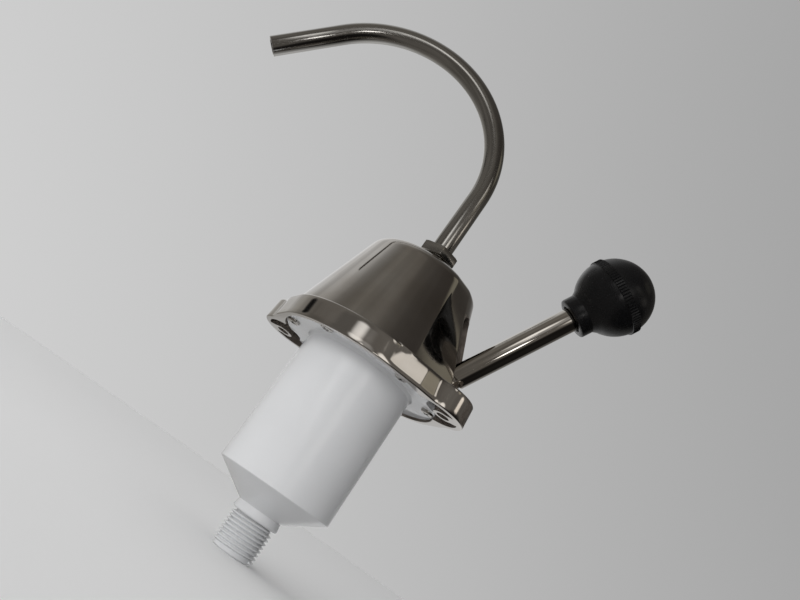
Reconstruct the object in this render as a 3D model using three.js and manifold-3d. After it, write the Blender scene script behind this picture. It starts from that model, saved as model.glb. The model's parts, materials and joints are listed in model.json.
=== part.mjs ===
// A galley hand pump: a chromed dome with a lever, a swivel spout and a white cylinder below the counter.
// Millimetres, +Z up along the pump's axis, the lever towards +X, and the counter plane at z = 0.
import * as THREE from 'three';
import { mergeVertices } from 'three/addons/utils/BufferGeometryUtils.js';
import Module from 'manifold-3d';

const wasm = await Module();
wasm.setup();

// Clearances and facets
const gap = 0.3;
const overrun = 1;
const largeSides = 36;
const mediumSides = 24;
const smallSides = 12;
const smallRadius = 3.5;
const tubeSegments = 9;
const tubeSteps = 32;

// Flange of the housing
const flangeHeight = 11.3;
const flangeDraft = 1.5;
const flangeEdge = 0.9;
const lobeRadius = 17;
const lobeSetback = 3.5;
const skirtWall = 2.8;
const shoulderCornerShares = [0.92, 0.5156];
const shoulderFootShares = [1.0667, 0.3467];
const earHoleShift = 7.1;
const earHoleRadius = 3.2;
const earBossRadius = 5;
const earBridgeHalfWidth = 4.2;
const earTopThickness = 3;

// Dome of the housing
const domeLedge = 1.8;
const domeLean = 14.2;
const domeHeight = 61;
const domeEdge = 4.6;
const shellWall = 3;
const topBossRadius = 12;
const topBossDepth = 5.5;

// Prow on the dome's front, with the lever's slot in it
const slotHalfWidth = 5.3;
const slotTop = 48;
const prowFootRise = 4.2;
const prowMergeHeight = 45;
const creaseFootDegrees = 40;
const creaseTopDegrees = 32;

// Lever pivot
const pivotSetback = 6.8;
const pivotClearance = 0.2;
const pivotPinRadius = 2.5;
const lugHalfWidth = 12.5;
const lugRadius = 5.8;
const setScrewRadius = 1.5;
const setScrewOffset = 9;

// Lever, knob and yoke
const leverDegrees = 57.4;
const hubInset = 0.3;
const hubHalfWidth = 4.95;
const hubBossLength = 11;
const spigotRadius = 3;
const spigotFoot = 4.3;
const leverRodRadius = 4.75;
const knobReach = 92.4;
const knobRadius = 18;
const knobCollarRadius = 9.5;
const knobCollarReach = 22;
const knobCollarEdge = 0.6;
const knobSocketDepth = 4;
const knobBandRadius = 18.6;
const knobBandWidth = 4;
const knobBandOffset = 0.5;
const insertWall = 1.5;
const insertLength = 12;
const armDegrees = 23;
const armPastAxis = 0.3;
const armHalfHeight = 3;
const armWidth = 3.3;
const armEndRadius = 4.2;
const armInset = 10.2;
const yokeBridgeReach = 9;
const yokeBridgeLength = 4.5;
const yokePinRadius = 2.2;
const yokePinInset = 6.3;
const yokePinHeadRadius = 3.2;
const yokePinHeadHeight = 1.3;

// Crosshead on the piston rod
const crossheadHeight = 9;
const crossheadFront = 9;
const crossheadBack = 7.5;
const crossheadHalfWidth = 9.9;
const slotClearance = 0.45;
const slotFront = 6;
const slotBack = 3.5;
const slotInset = 6;

// Piston rod
const rodRadius = 4.5;
const rodBoreRadius = 3;
const rodTopGap = 0.5;
const rodPortRadius = 1.6;
const rodPortRise = 8.2;
const rodCollarRadius = 6.2;
const rodCollarHeight = 1;
const rodEndLength = 1;

// Outlet fitting and spout
const spoutRadius = 5.6;
const spoutWall = 1;
const spoutSocketDrop = 4;
const fittingRadius = 7.8;
const fittingRestGap = 2;
const fittingRise = 10.2;
const fittingShoulderRadius = 10;
const fittingShoulderHeight = 2;
const locknutAcrossFlats = 22;
const locknutHeight = 4;
const glandNutAcrossFlats = 19;
const glandNutHeight = 5.1;
const glandNutRise = 3.2;
const glandNutChamfer = 0.7;
const glandNutLip = 1.4;
const glandNutTurnDegrees = 29;
const ferruleRadius = 7.2;
const sealWidth = 1.2;
const sealHeight = 1.8;
const riserSealRise = 1.6;
const spoutBendRise = 51;
const spoutBendRadius = 66.6;
const spoutBendDegrees = 138.3;
const spoutTipLength = 40.6;
const spoutTurnDegrees = 202.5;

// Cylinder below the counter
const cylinderBoreRadius = 24;
const cylinderWall = 4.9;
const cylinderLength = 66;
const coneLength = 10.7;
const neckRadius = 11;
const neckLength = 3.6;
const threadRadius = 10.65;
const threadDepth = 1.15;
const threadPitch = 1.81;
const threadTurns = 9;
const tailLength = 17.6;
const inletBoreRadius = 7;
const plateMargin = 12.9;
const plateFit = 0.4;
const plateThickness = 1.6;
const plateHubFootMargin = 0.5;
const plateHubMargin = 2;
const plateNotchRadius = 9.5;
const valvePocketRadius = 9.6;
const valvePocketDepth = 4;
const cageSeatRadius = 10.6;
const cageSeatDrop = 4.4;

// Screws that hold the plate
const plateScrewDegrees = [18, 82, 150, -144, -96, -35];
const plateScrewRadius = 2;
const plateScrewLength = 3.7;
const plateScrewHeadRadius = 3.4;
const plateScrewHeadHeight = 1.8;
const plateScrewHeadRoom = 0.1;
const screwBossRadius = 4.2;
const screwBossTop = 14;
const crossRecessWidthShare = 0.26;
const crossRecessSpanShare = 1.1;
const crossRecessDepthShare = 0.5;

// Rod guide in the cylinder's mouth
const guideRimTop = 2.7;
const guideSeatDepth = 1.5;
const guideLedge = 4.5;
const guideDishWall = 4;
const guideDepth = 14;
const guideFloor = 4;
const guideBossRadius = 9;
const guideBossDepth = 3.6;
const guideGrooveDepth = 8;
const rodSealSeatDepth = 6.6;
const retainerRadius = 8.4;
const retainerHeight = 2.5;
const retainerSpigot = 1;
const guideScrewDegrees = [60, 180, 300];
const guideScrewRadius = 1;
const guideScrewHeadRadius = 1.7;
const guideScrewHeadHeight = 1.1;
const guideScrewLength = 5.5;

// Piston and its valve
const pistonTop = 26.5;
const pistonFit = 2.3;
const pistonThickness = 6;
const cupThickness = 1.7;
const cupLip = 5.5;
const clampPlateInset = 4.5;
const clampPlateThickness = 2.4;
const pistonNutAcrossFlats = 13;
const pistonNutHeight = 4.5;
const flowHoleRadius = 2.6;
const flowHoleInset = 11.5;
const flowHoleCount = 6;
const valveDiscInset = 7;
const valveDiscThickness = 1.6;
const valveLift = 2;
const valveStopRadius = 10;
const valveStopThickness = 1.6;

// Foot valve
const footDiscRadius = 8.9;
const footDiscThickness = 2;
const footCageThickness = 1.6;
const footCageWall = 2.3;
const footCageBar = 2.4;

// Colours and finishes
const chrome = new THREE.MeshStandardMaterial({ color: 0x9a938b, roughness: 0.12, metalness: 1 });
const steel = new THREE.MeshStandardMaterial({ color: 0x8b8680, roughness: 0.3, metalness: 1 });
const brass = new THREE.MeshStandardMaterial({ color: 0xb08d57, roughness: 0.35, metalness: 1 });
const whitePlastic = new THREE.MeshStandardMaterial({ color: 0xe9ebee, roughness: 0.3, metalness: 0 });
const blackPlastic = new THREE.MeshStandardMaterial({ color: 0x141414, roughness: 0.4, metalness: 0 });
const rubber = new THREE.MeshStandardMaterial({ color: 0x1d1d1f, roughness: 0.8, metalness: 0 });

// Shapes as solids
const radians = THREE.MathUtils.degToRad;

// Lengths and places that follow from the sizes, from the bore outwards
const cylinderRadius = cylinderBoreRadius + cylinderWall;
const plateRadius = cylinderRadius + plateMargin;
const plateHubFoot = cylinderRadius + plateHubFootMargin;
const plateHubTop = cylinderRadius + plateHubMargin;
const plateRecess = plateScrewHeadHeight + plateScrewHeadRoom;
const plateTop = plateRecess + plateThickness;
const plateScrewCircle = plateRadius - plateScrewHeadRadius;
const flangeRadius = plateRadius + plateFit + skirtWall;
const lobeOffset = flangeRadius - lobeSetback;
const earHoleOffset = lobeOffset + earHoleShift;
const shoulderCorner = shoulderCornerShares.map((share) => share * flangeRadius);
const shoulderFoot = shoulderFootShares.map((share) => share * flangeRadius);
const domeFootRadius = flangeRadius - domeLedge;
const domeTopRadius = domeFootRadius - domeLean;
const prowFootReach = domeFootRadius + prowFootRise;
const pistonRadius = cylinderBoreRadius - pistonFit;
const cupRadius = cylinderBoreRadius - gap;
const clampPlateRadius = cylinderBoreRadius - clampPlateInset;
const flowHoleCircle = cylinderBoreRadius - flowHoleInset;
const valveDiscRadius = cylinderBoreRadius - valveDiscInset;
const guideDishRadius = cylinderBoreRadius - guideDishWall;
const pivotReach = flangeRadius - pivotSetback;
const pivotHeight = plateTop + pivotClearance + lugRadius;
const hubRadius = lugRadius - hubInset;
const armLength = pivotReach + armPastAxis;
const yokePinX = pivotReach - armLength * Math.cos(radians(armDegrees));
const yokePinZ = pivotHeight + armLength * Math.sin(radians(armDegrees));
const fittingFoot = yokePinZ + crossheadHeight / 2 + fittingRestGap;
const riserSealFoot = fittingFoot + riserSealRise;
const spoutSocketFloor = domeHeight - spoutSocketDrop;
const rodTop = spoutSocketFloor - rodTopGap;
const fittingTop = domeHeight + fittingRise;
const glandNutTop = fittingTop + glandNutRise;
const spoutBendStart = domeHeight + spoutBendRise;
const guideSeatRadius = cylinderBoreRadius + guideLedge;
const guideScrewCircle = cylinderBoreRadius + guideLedge / 2;
const inletEnd = cylinderLength + coneLength + neckLength + tailLength;
const cageSeatDepth = cylinderLength + cageSeatDrop;
const valveSeatDepth = cageSeatDepth + valvePocketDepth;

function merged(geometry) {
  const bare = geometry.clone();
  bare.deleteAttribute('normal');
  bare.deleteAttribute('uv');
  const joined = mergeVertices(bare);
  const index = joined.index.array;
  const kept = [];
  for (let i = 0; i < index.length; i += 3) {
    const [a, b, c] = [index[i], index[i + 1], index[i + 2]];
    if (a !== b && b !== c && c !== a) kept.push(a, b, c);
  }
  joined.setIndex(kept);
  return joined;
}

function signedVolume(geometry) {
  const place = geometry.attributes.position;
  const index = geometry.index.array;
  const [a, b, c] = [new THREE.Vector3(), new THREE.Vector3(), new THREE.Vector3()];
  let total = 0;
  for (let i = 0; i < index.length; i += 3) {
    a.fromBufferAttribute(place, index[i]);
    b.fromBufferAttribute(place, index[i + 1]);
    c.fromBufferAttribute(place, index[i + 2]);
    total += a.dot(b.cross(c));
  }
  return total;
}

function solid(geometry) {
  const shape = merged(geometry);
  const triVerts = Uint32Array.from(shape.index.array);
  if (signedVolume(shape) < 0) triVerts.reverse();
  const vertProperties = Float32Array.from(shape.attributes.position.array);
  return new wasm.Manifold(new wasm.Mesh({ numProp: 3, vertProperties, triVerts }));
}

function joined(...solids) {
  return solids.reduce((whole, next) => whole.add(next));
}

function without(whole, ...cuts) {
  return cuts.reduce((rest, cut) => rest.subtract(cut), whole);
}

function named(name, shape, material) {
  const { vertProperties, triVerts } = shape.getMesh();
  const geometry = new THREE.BufferGeometry();
  geometry.setAttribute('position', new THREE.BufferAttribute(Float32Array.from(vertProperties), 3));
  geometry.setIndex([...triVerts]);
  geometry.computeVertexNormals();
  const mesh = new THREE.Mesh(geometry, material);
  mesh.name = name;
  return mesh;
}

// A profile of [radius, height] points turned about Z
function turned(profile, sides = mediumSides) {
  const points = profile.map(([radius, height]) => new THREE.Vector2(radius, height));
  const closed = profile[0][0] > 0 ? [...points, points[0].clone()] : points;
  return new THREE.LatheGeometry(closed, sides).rotateX(Math.PI / 2);
}

function rod(radius, low, high) {
  const sides = radius > smallRadius ? mediumSides : smallSides;
  return turned([[0, low], [radius, low], [radius, high], [0, high]], sides);
}

function ring(inner, outer, low, high, sides = mediumSides) {
  return turned([[inner, low], [outer, low], [outer, high], [inner, high]], sides);
}

function block(lowX, highX, lowY, highY, lowZ, highZ) {
  const shape = new THREE.BoxGeometry(highX - lowX, highY - lowY, highZ - lowZ);
  return shape.translate((lowX + highX) / 2, (lowY + highY) / 2, (lowZ + highZ) / 2);
}

function hexagon(acrossFlats, low, high) {
  const shape = new THREE.CylinderGeometry(acrossFlats / Math.sqrt(3), acrossFlats / Math.sqrt(3), high - low, 6);
  return shape.rotateX(Math.PI / 2).translate(0, 0, (low + high) / 2);
}

// A shape made along +Z is laid along +X, then raised from the horizontal about the Y axis
function raised(shape, degrees) {
  return shape.rotateY(Math.PI / 2).rotateY(-radians(degrees));
}

function acrossY(shape, x, z) {
  return shape.rotateX(-Math.PI / 2).translate(x, 0, z);
}

// Rings of points joined into one closed skin
function lofted(rings) {
  const columns = rings[0].length;
  const places = rings.flat().flatMap((point) => [point.x, point.y, point.z]);
  const index = [];
  for (let row = 0; row + 1 < rings.length; row += 1) {
    for (let column = 0; column < columns; column += 1) {
      const next = (column + 1) % columns;
      const [a, b] = [row * columns + column, row * columns + next];
      const [c, d] = [a + columns, b + columns];
      index.push(a, b, d, a, d, c);
    }
  }
  const last = (rings.length - 1) * columns;
  const lowCentre = rings.length * columns;
  places.push(0, 0, rings[0][0].z, 0, 0, rings[rings.length - 1][0].z);
  for (let column = 0; column < columns; column += 1) {
    const next = (column + 1) % columns;
    index.push(lowCentre, next, column);
    index.push(lowCentre + 1, last + column, last + next);
  }
  const geometry = new THREE.BufferGeometry();
  geometry.setAttribute('position', new THREE.Float32BufferAttribute(places, 3));
  geometry.setIndex(index);
  return geometry;
}

// Housing: the outline of the flange, and the sections of the dome with its prow
const domeSlope = (domeFootRadius - domeTopRadius) / (domeHeight - flangeHeight);
const prowSteps = 7;
const backSteps = 26;
const domeRows = 9;
const edgeRows = 3;

function coneRadius(z) {
  return domeTopRadius + domeSlope * (domeHeight - z);
}

function coneReach(z, inset) {
  return Math.sqrt((coneRadius(z) - inset) ** 2 - slotHalfWidth ** 2);
}

function prowReach(z, inset) {
  const merge = coneReach(prowMergeHeight, 0);
  const share = (prowMergeHeight - z) / (prowMergeHeight - flangeHeight);
  return Math.max(coneReach(z, inset), merge + (prowFootReach - merge) * share);
}

function domeSection(z, inset) {
  const radius = coneRadius(z) - inset;
  const rise = (z - flangeHeight) / (domeHeight - flangeHeight);
  const crease = radians(THREE.MathUtils.lerp(creaseFootDegrees, creaseTopDegrees, rise));
  const reach = prowReach(z, inset);
  const ridge = new THREE.Vector3(reach, slotHalfWidth, z);
  const foot = new THREE.Vector3(radius * Math.cos(crease), radius * Math.sin(crease), z);
  const half = [ridge];
  for (let step = 1; step <= prowSteps; step += 1) half.push(ridge.clone().lerp(foot, step / prowSteps));
  for (let step = 1; step < backSteps; step += 1) {
    const angle = THREE.MathUtils.lerp(crease, Math.PI, step / backSteps);
    half.push(new THREE.Vector3(radius * Math.cos(angle), radius * Math.sin(angle), z));
  }
  const mirrored = half.map((point) => new THREE.Vector3(point.x, -point.y, z)).reverse();
  return [new THREE.Vector3(reach, 0, z), ...half, new THREE.Vector3(-radius, 0, z), ...mirrored];
}

// The flange is a rim circle and two ear lobes with straight shoulders between them
function lineReach(angle, from, to, inset) {
  const normal = Math.atan2(from[0] - to[0], to[1] - from[1]);
  const distance = from[0] * Math.cos(normal) + from[1] * Math.sin(normal);
  return (distance - inset) / Math.cos(angle - normal);
}

function flangeReach(angle, inset) {
  const folded = Math.abs(Math.atan2(Math.sin(angle), Math.abs(Math.cos(angle))));
  const cornerReach = Math.hypot(...shoulderCorner);
  const tangent = Math.atan2(shoulderCorner[1], shoulderCorner[0]) + Math.acos(flangeRadius / cornerReach);
  const tangentPoint = [flangeRadius * Math.cos(tangent), flangeRadius * Math.sin(tangent)];
  if (folded > tangent) return flangeRadius - inset;
  if (folded > Math.atan2(shoulderFoot[1], shoulderFoot[0])) {
    const first = lineReach(folded, shoulderCorner, tangentPoint, inset);
    const second = lineReach(folded, shoulderFoot, shoulderCorner, inset);
    return Math.min(first, second);
  }
  const lobe = lobeRadius - inset;
  return lobeOffset * Math.cos(folded) + Math.sqrt(lobe ** 2 - (lobeOffset * Math.sin(folded)) ** 2);
}

function flangeSection(z, inset) {
  return domeSection(flangeHeight, 0).map((point) => {
    const angle = Math.atan2(point.y, point.x);
    const least = Math.hypot(point.x, point.y) + flangeEdge / 4;
    const reach = Math.max(flangeReach(angle, inset), least);
    return new THREE.Vector3(reach * Math.cos(angle), reach * Math.sin(angle), z);
  });
}

function housingSkin() {
  const rings = [];
  const bevel = 1 - Math.SQRT1_2;
  rings.push(flangeSection(0, flangeEdge * bevel));
  rings.push(flangeSection(flangeEdge * bevel, 0));
  rings.push(flangeSection(flangeHeight - flangeEdge, flangeDraft));
  rings.push(flangeSection(flangeHeight - flangeEdge * bevel, flangeDraft + flangeEdge * bevel));
  rings.push(flangeSection(flangeHeight, flangeDraft + flangeEdge));
  const shoulder = domeHeight - domeEdge;
  for (let row = 0; row <= domeRows; row += 1) {
    const z = THREE.MathUtils.lerp(flangeHeight, shoulder, row / domeRows);
    rings.push(domeSection(z, 0));
  }
  for (let row = 1; row <= edgeRows; row += 1) {
    const turn = (row / edgeRows) * (Math.PI / 2);
    rings.push(domeSection(shoulder + domeEdge * Math.sin(turn), domeEdge * (1 - Math.cos(turn))));
  }
  return lofted(rings);
}

function placed(shape, x, y) {
  return shape.translate(x, y, 0);
}

function plateScrewPlaces() {
  return plateScrewDegrees.map((degrees) => [
    plateScrewCircle * Math.cos(radians(degrees)),
    plateScrewCircle * Math.sin(radians(degrees)),
  ]);
}

function makeHousing() {
  const skin = solid(housingSkin());
  const cavityTop = domeHeight - shellWall - gap;
  const skirtTop = flangeHeight - shellWall;
  const cavity = solid(turned([
    [0, -overrun], [flangeRadius - skirtWall, -overrun], [flangeRadius - skirtWall, skirtTop],
    [coneRadius(flangeHeight) - shellWall, flangeHeight], [coneRadius(cavityTop) - shellWall, cavityTop],
    [0, cavityTop],
  ], largeSides));
  const pocketTop = flangeHeight - earTopThickness;
  const ears = [earHoleOffset, -earHoleOffset];
  const pockets = [lobeOffset, -lobeOffset].map((x) =>
    solid(placed(rod(lobeRadius - skirtWall, -overrun, pocketTop), x, 0)));
  const earBosses = ears.map((x) => solid(placed(rod(earBossRadius, 0, pocketTop + overrun), x, 0)));
  const earRim = lobeOffset + lobeRadius - skirtWall / 2;
  const earBridges = [[earHoleOffset, earRim], [-earRim, -earHoleOffset]].map(([low, high]) =>
    solid(block(low, high, -earBridgeHalfWidth, earBridgeHalfWidth, 0, pocketTop + overrun)));
  const screwBosses = plateScrewPlaces().map(([x, y]) =>
    solid(placed(rod(screwBossRadius, plateTop, screwBossTop), x, y)));
  const lug = acrossY(rod(lugRadius, -lugHalfWidth, lugHalfWidth), pivotReach, pivotHeight);
  const lugRoot = block(pivotReach, flangeRadius, -lugHalfWidth, lugHalfWidth,
    pivotHeight - lugRadius, flangeHeight + overrun);
  const topBoss = rod(topBossRadius, cavityTop - topBossDepth, cavityTop + overrun);
  const inner = joined(...earBosses, ...earBridges, ...screwBosses, solid(lug), solid(lugRoot), solid(topBoss));
  const shell = joined(without(skin, cavity, ...pockets), inner.intersect(skin));

  const notchReach = pivotReach + (leverRodRadius + gap / 2) / Math.sin(radians(leverDegrees))
    + (flangeHeight - pivotHeight) / Math.tan(radians(leverDegrees));
  const slotFoot = block(pivotReach - lugRadius * 2, notchReach, -slotHalfWidth, slotHalfWidth,
    plateTop, flangeHeight + gap);
  const slotBody = block(pivotReach - lugRadius * 2, prowFootReach + overrun, -slotHalfWidth, slotHalfWidth,
    flangeHeight + gap, slotTop - slotHalfWidth);
  const slotEnd = raised(rod(slotHalfWidth, coneRadius(slotTop) / 2, prowFootReach + overrun), 0)
    .translate(0, 0, slotTop - slotHalfWidth);
  const pinHole = acrossY(rod(pivotPinRadius + gap, -lugHalfWidth - overrun, lugHalfWidth + overrun),
    pivotReach, pivotHeight);
  const setScrewHole = placed(rod(setScrewRadius + gap, plateTop, pivotHeight), pivotReach, -setScrewOffset);
  const earHoles = ears.map((x) => solid(placed(rod(earHoleRadius, -overrun, flangeHeight + overrun), x, 0)));
  const screwHoles = plateScrewPlaces().map(([x, y]) =>
    solid(placed(rod(plateScrewRadius + gap, plateRecess, plateRecess + plateScrewLength + gap), x, y)));
  const outletHole = rod(fittingRadius + gap, cavityTop - topBossDepth - overrun, domeHeight + overrun);
  return without(shell, solid(slotFoot), solid(slotBody), solid(slotEnd), solid(pinHole), solid(setScrewHole),
    solid(outletHole), ...earHoles, ...screwHoles);
}

// Outlet fitting through the dome's top, its locknut, the gland nut and their seals
const spoutSocketRadius = spoutRadius + gap;
const rodSleeveRadius = rodRadius + gap;
const spoutSealFoot = fittingTop - sealHeight - gap;
const locknutSeat = domeHeight - shellWall - gap - topBossDepth;

function makeOutletFitting() {
  const spoutGroove = spoutSocketRadius + sealWidth;
  const riserGroove = rodSleeveRadius + sealWidth;
  const riserGrooveTop = riserSealFoot + sealHeight + gap;
  const shoulderTop = domeHeight + fittingShoulderHeight;
  return solid(turned([
    [fittingRadius, fittingFoot], [fittingRadius, domeHeight], [fittingShoulderRadius, domeHeight],
    [fittingShoulderRadius, shoulderTop], [fittingRadius, shoulderTop], [fittingRadius, fittingTop],
    [spoutGroove, fittingTop], [spoutGroove, spoutSealFoot], [spoutSocketRadius, spoutSealFoot],
    [spoutSocketRadius, spoutSocketFloor], [rodSleeveRadius, spoutSocketFloor],
    [rodSleeveRadius, riserGrooveTop], [riserGroove, riserGrooveTop], [riserGroove, riserSealFoot],
    [rodSleeveRadius, riserSealFoot], [rodSleeveRadius, fittingFoot],
  ]));
}

function makeLocknut() {
  const bore = rod(fittingRadius + gap, locknutSeat - locknutHeight - overrun, locknutSeat + overrun);
  return without(solid(hexagon(locknutAcrossFlats, locknutSeat - locknutHeight, locknutSeat)), solid(bore));
}

function makeGlandNut() {
  const foot = glandNutTop - glandNutHeight;
  const corner = glandNutAcrossFlats / Math.sqrt(3);
  const chamfered = turned([
    [0, foot], [corner - glandNutChamfer, foot], [corner, foot + glandNutChamfer],
    [corner, glandNutTop - glandNutChamfer], [glandNutAcrossFlats / 2, glandNutTop], [0, glandNutTop],
  ]);
  const body = hexagon(glandNutAcrossFlats, foot, glandNutTop).rotateZ(radians(glandNutTurnDegrees));
  const bore = rod(fittingRadius + gap, foot - overrun, glandNutTop - glandNutLip);
  const hole = rod(spoutRadius + gap, foot - overrun, glandNutTop + overrun);
  return without(solid(body).intersect(solid(chamfered)), solid(bore), solid(hole));
}

function makeFerrule() {
  return solid(ring(spoutRadius + gap, ferruleRadius, fittingTop, glandNutTop - glandNutLip));
}

function makeSeal(boreRadius, foot) {
  return solid(ring(boreRadius + gap / 2, boreRadius + sealWidth, foot, foot + sealHeight));
}

// Spout: a tube swept up the axis, round the bend and down to its open end
class SpoutPath extends THREE.Curve {
  constructor() {
    super();
    this.foot = spoutSocketFloor + gap;
    this.straight = spoutBendStart - this.foot;
    this.bend = spoutBendRadius * radians(spoutBendDegrees);
    this.total = this.straight + this.bend + spoutTipLength;
  }

  getPoint(share, target = new THREE.Vector3()) {
    const along = share * this.total;
    const lead = Math.min(along, this.straight);
    const turn = THREE.MathUtils.clamp(along - this.straight, 0, this.bend) / spoutBendRadius;
    const tail = Math.max(along - this.straight - this.bend, 0);
    const reach = spoutBendRadius * (1 - Math.cos(turn)) + tail * Math.sin(turn);
    const height = this.foot + lead + spoutBendRadius * Math.sin(turn) + tail * Math.cos(turn);
    const heading = radians(spoutTurnDegrees);
    return target.set(reach * Math.cos(heading), reach * Math.sin(heading), height);
  }
}

function makeSpout() {
  const section = new THREE.Shape();
  section.absarc(0, 0, spoutRadius, 0, Math.PI * 2);
  const bore = new THREE.Path();
  bore.absarc(0, 0, spoutRadius - spoutWall, 0, Math.PI * 2);
  section.holes.push(bore);
  const settings = { steps: tubeSteps, curveSegments: tubeSegments, extrudePath: new SpoutPath() };
  return solid(new THREE.ExtrudeGeometry(section, settings));
}

// Places round a circle
function around(circle, degreesList) {
  return degreesList.map((degrees) => [circle * Math.cos(radians(degrees)), circle * Math.sin(radians(degrees))]);
}

// Cylinder: a flange plate, a barrel, an end cap with the valve's seat, and a threaded inlet tail
const guideSeat = guideRimTop - guideSeatDepth;
const capFoot = cylinderLength + coneLength;

function makeFlangePlate() {
  const plate = turned([
    [cylinderBoreRadius, 0], [plateHubFoot, 0], [plateHubTop, plateRecess], [plateRadius, plateRecess],
    [plateRadius, plateTop], [guideSeatRadius, plateTop], [guideSeatRadius, guideSeat],
    [cylinderBoreRadius, guideSeat],
  ], largeSides);
  const notches = [earHoleOffset, -earHoleOffset].map((x) =>
    solid(placed(rod(plateNotchRadius, -overrun, plateTop + overrun), x, 0)));
  const plateHoles = plateScrewPlaces().map(([x, y]) =>
    solid(placed(rod(plateScrewRadius + gap, -overrun, plateTop + overrun), x, y)));
  return without(solid(plate), ...notches, ...plateHoles, ...guideHoles());
}

function guideHoles() {
  const foot = guideRimTop - guideScrewLength - gap;
  return around(guideScrewCircle, guideScrewDegrees).map(([x, y]) =>
    solid(placed(rod(guideScrewRadius + gap, foot, guideRimTop + overrun), x, y)));
}

function makeCylinder() {
  const barrel = ring(cylinderBoreRadius, cylinderRadius, -cylinderLength, 0, largeSides);
  return without(solid(barrel), ...guideHoles());
}

function makeEndCap() {
  return solid(turned([
    [inletBoreRadius, -capFoot], [neckRadius, -capFoot], [cylinderRadius, -cylinderLength],
    [cylinderBoreRadius, -cylinderLength], [cageSeatRadius, footCageThickness + gap - cageSeatDepth],
    [cageSeatRadius, -cageSeatDepth], [valvePocketRadius, -cageSeatDepth], [valvePocketRadius, -valveSeatDepth],
    [inletBoreRadius, -valveSeatDepth],
  ], largeSides));
}

function makeInletTail() {
  const neckFoot = capFoot + neckLength;
  const threadRoot = threadRadius - threadDepth;
  const thread = [];
  for (let turn = 0; turn < threadTurns; turn += 1) {
    const depth = neckFoot + gap + turn * threadPitch;
    thread.unshift([threadRadius, -(depth + threadPitch / 2)], [threadRoot, -depth]);
  }
  return solid(turned([
    [inletBoreRadius, -inletEnd], [threadRoot - threadDepth / 2, -inletEnd],
    [threadRoot, threadDepth / 2 - inletEnd], ...thread, [threadRoot, -neckFoot], [neckRadius, -neckFoot],
    [neckRadius, -capFoot], [inletBoreRadius, -capFoot],
  ]));
}

// Rod guide with its seals
function makeGuide() {
  const plugRadius = cylinderBoreRadius - gap;
  const grooveRadius = plugRadius - sealWidth;
  const grooveFoot = -guideGrooveDepth - sealHeight - gap;
  const profile = [
    [rodSleeveRadius, -guideDepth], [plugRadius, -guideDepth], [plugRadius, grooveFoot],
    [grooveRadius, grooveFoot], [grooveRadius, -guideGrooveDepth], [plugRadius, -guideGrooveDepth],
    [plugRadius, guideSeat], [guideSeatRadius - gap, guideSeat], [guideSeatRadius - gap, guideRimTop],
    [guideDishRadius, guideRimTop], [guideDishRadius, guideFloor - guideDepth],
    [guideBossRadius, guideFloor - guideDepth], [guideBossRadius, -guideBossDepth],
    [rodSleeveRadius + sealWidth, -guideBossDepth], [rodSleeveRadius + sealWidth, -rodSealSeatDepth],
    [rodSleeveRadius, -rodSealSeatDepth],
  ];
  return without(solid(turned(profile)), ...guideHoles());
}

function makeGuideSeal() {
  const grooveRadius = cylinderBoreRadius - gap - sealWidth;
  const foot = -guideGrooveDepth - sealHeight - gap;
  return solid(ring(grooveRadius + gap / 2, cylinderBoreRadius - gap / 2, foot, foot + sealHeight));
}

function makeRetainer() {
  const spigotRadiusOut = rodSleeveRadius + sealWidth - gap;
  return solid(turned([
    [rodSleeveRadius, -guideBossDepth - retainerSpigot], [spigotRadiusOut, -guideBossDepth - retainerSpigot],
    [spigotRadiusOut, -guideBossDepth], [retainerRadius, -guideBossDepth],
    [retainerRadius, retainerHeight - guideBossDepth], [rodSleeveRadius, retainerHeight - guideBossDepth],
  ]));
}

// Screws: the head's seat at the origin and the shank along +Z, then put in place
const plateScrew = {
  shank: plateScrewRadius, length: plateScrewLength, head: plateScrewHeadRadius, height: plateScrewHeadHeight,
};
const guideScrew = {
  shank: guideScrewRadius, length: guideScrewLength, head: guideScrewHeadRadius, height: guideScrewHeadHeight,
};

function screw(size, place) {
  const edge = size.height / 3;
  const body = turned([
    [0, -size.height], [size.head - edge * 2, -size.height], [size.head - edge / 2, edge - size.height],
    [size.head, edge * 2 - size.height], [size.head, 0], [size.shank, 0], [size.shank, size.length],
    [0, size.length],
  ], smallSides);
  const span = (size.head * crossRecessSpanShare) / 2;
  const width = (size.head * crossRecessWidthShare) / 2;
  const floor = size.height * crossRecessDepthShare - size.height;
  const bars = [
    block(-span, span, -width, width, -size.height - overrun, floor),
    block(-width, width, -span, span, -size.height - overrun, floor),
  ];
  return without(solid(body.applyMatrix4(place)), ...bars.map((bar) => solid(bar.applyMatrix4(place))));
}

function makePlateScrew([x, y]) {
  return screw(plateScrew, new THREE.Matrix4().makeTranslation(x, y, plateRecess));
}

function makeGuideScrew([x, y]) {
  const place = new THREE.Matrix4().makeTranslation(x, y, guideRimTop);
  return screw(guideScrew, place.multiply(new THREE.Matrix4().makeRotationX(Math.PI)));
}

// Foot valve at the cylinder's outlet to the neck
function makeFootDisc() {
  return solid(rod(footDiscRadius, -valveSeatDepth, footDiscThickness - valveSeatDepth));
}

function makeFootCage() {
  const top = footCageThickness - cageSeatDepth;
  const outer = cageSeatRadius - gap;
  const bar = footCageBar / 2;
  const reach = outer - footCageWall / 2;
  return joined(
    solid(ring(outer - footCageWall, outer, -cageSeatDepth, top)),
    solid(block(-reach, reach, -bar, bar, -cageSeatDepth, top)),
    solid(block(-bar, bar, -reach, reach, -cageSeatDepth, top)),
  );
}

// Pivot pin and the screw that holds it
function makePivotPin() {
  const half = lugHalfWidth - gap;
  return solid(acrossY(rod(pivotPinRadius, -half, half), pivotReach, pivotHeight));
}

function makePivotSetScrew() {
  const foot = pivotHeight - lugRadius;
  return solid(placed(rod(setScrewRadius, foot, pivotHeight - pivotPinRadius), pivotReach, -setScrewOffset));
}

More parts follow.
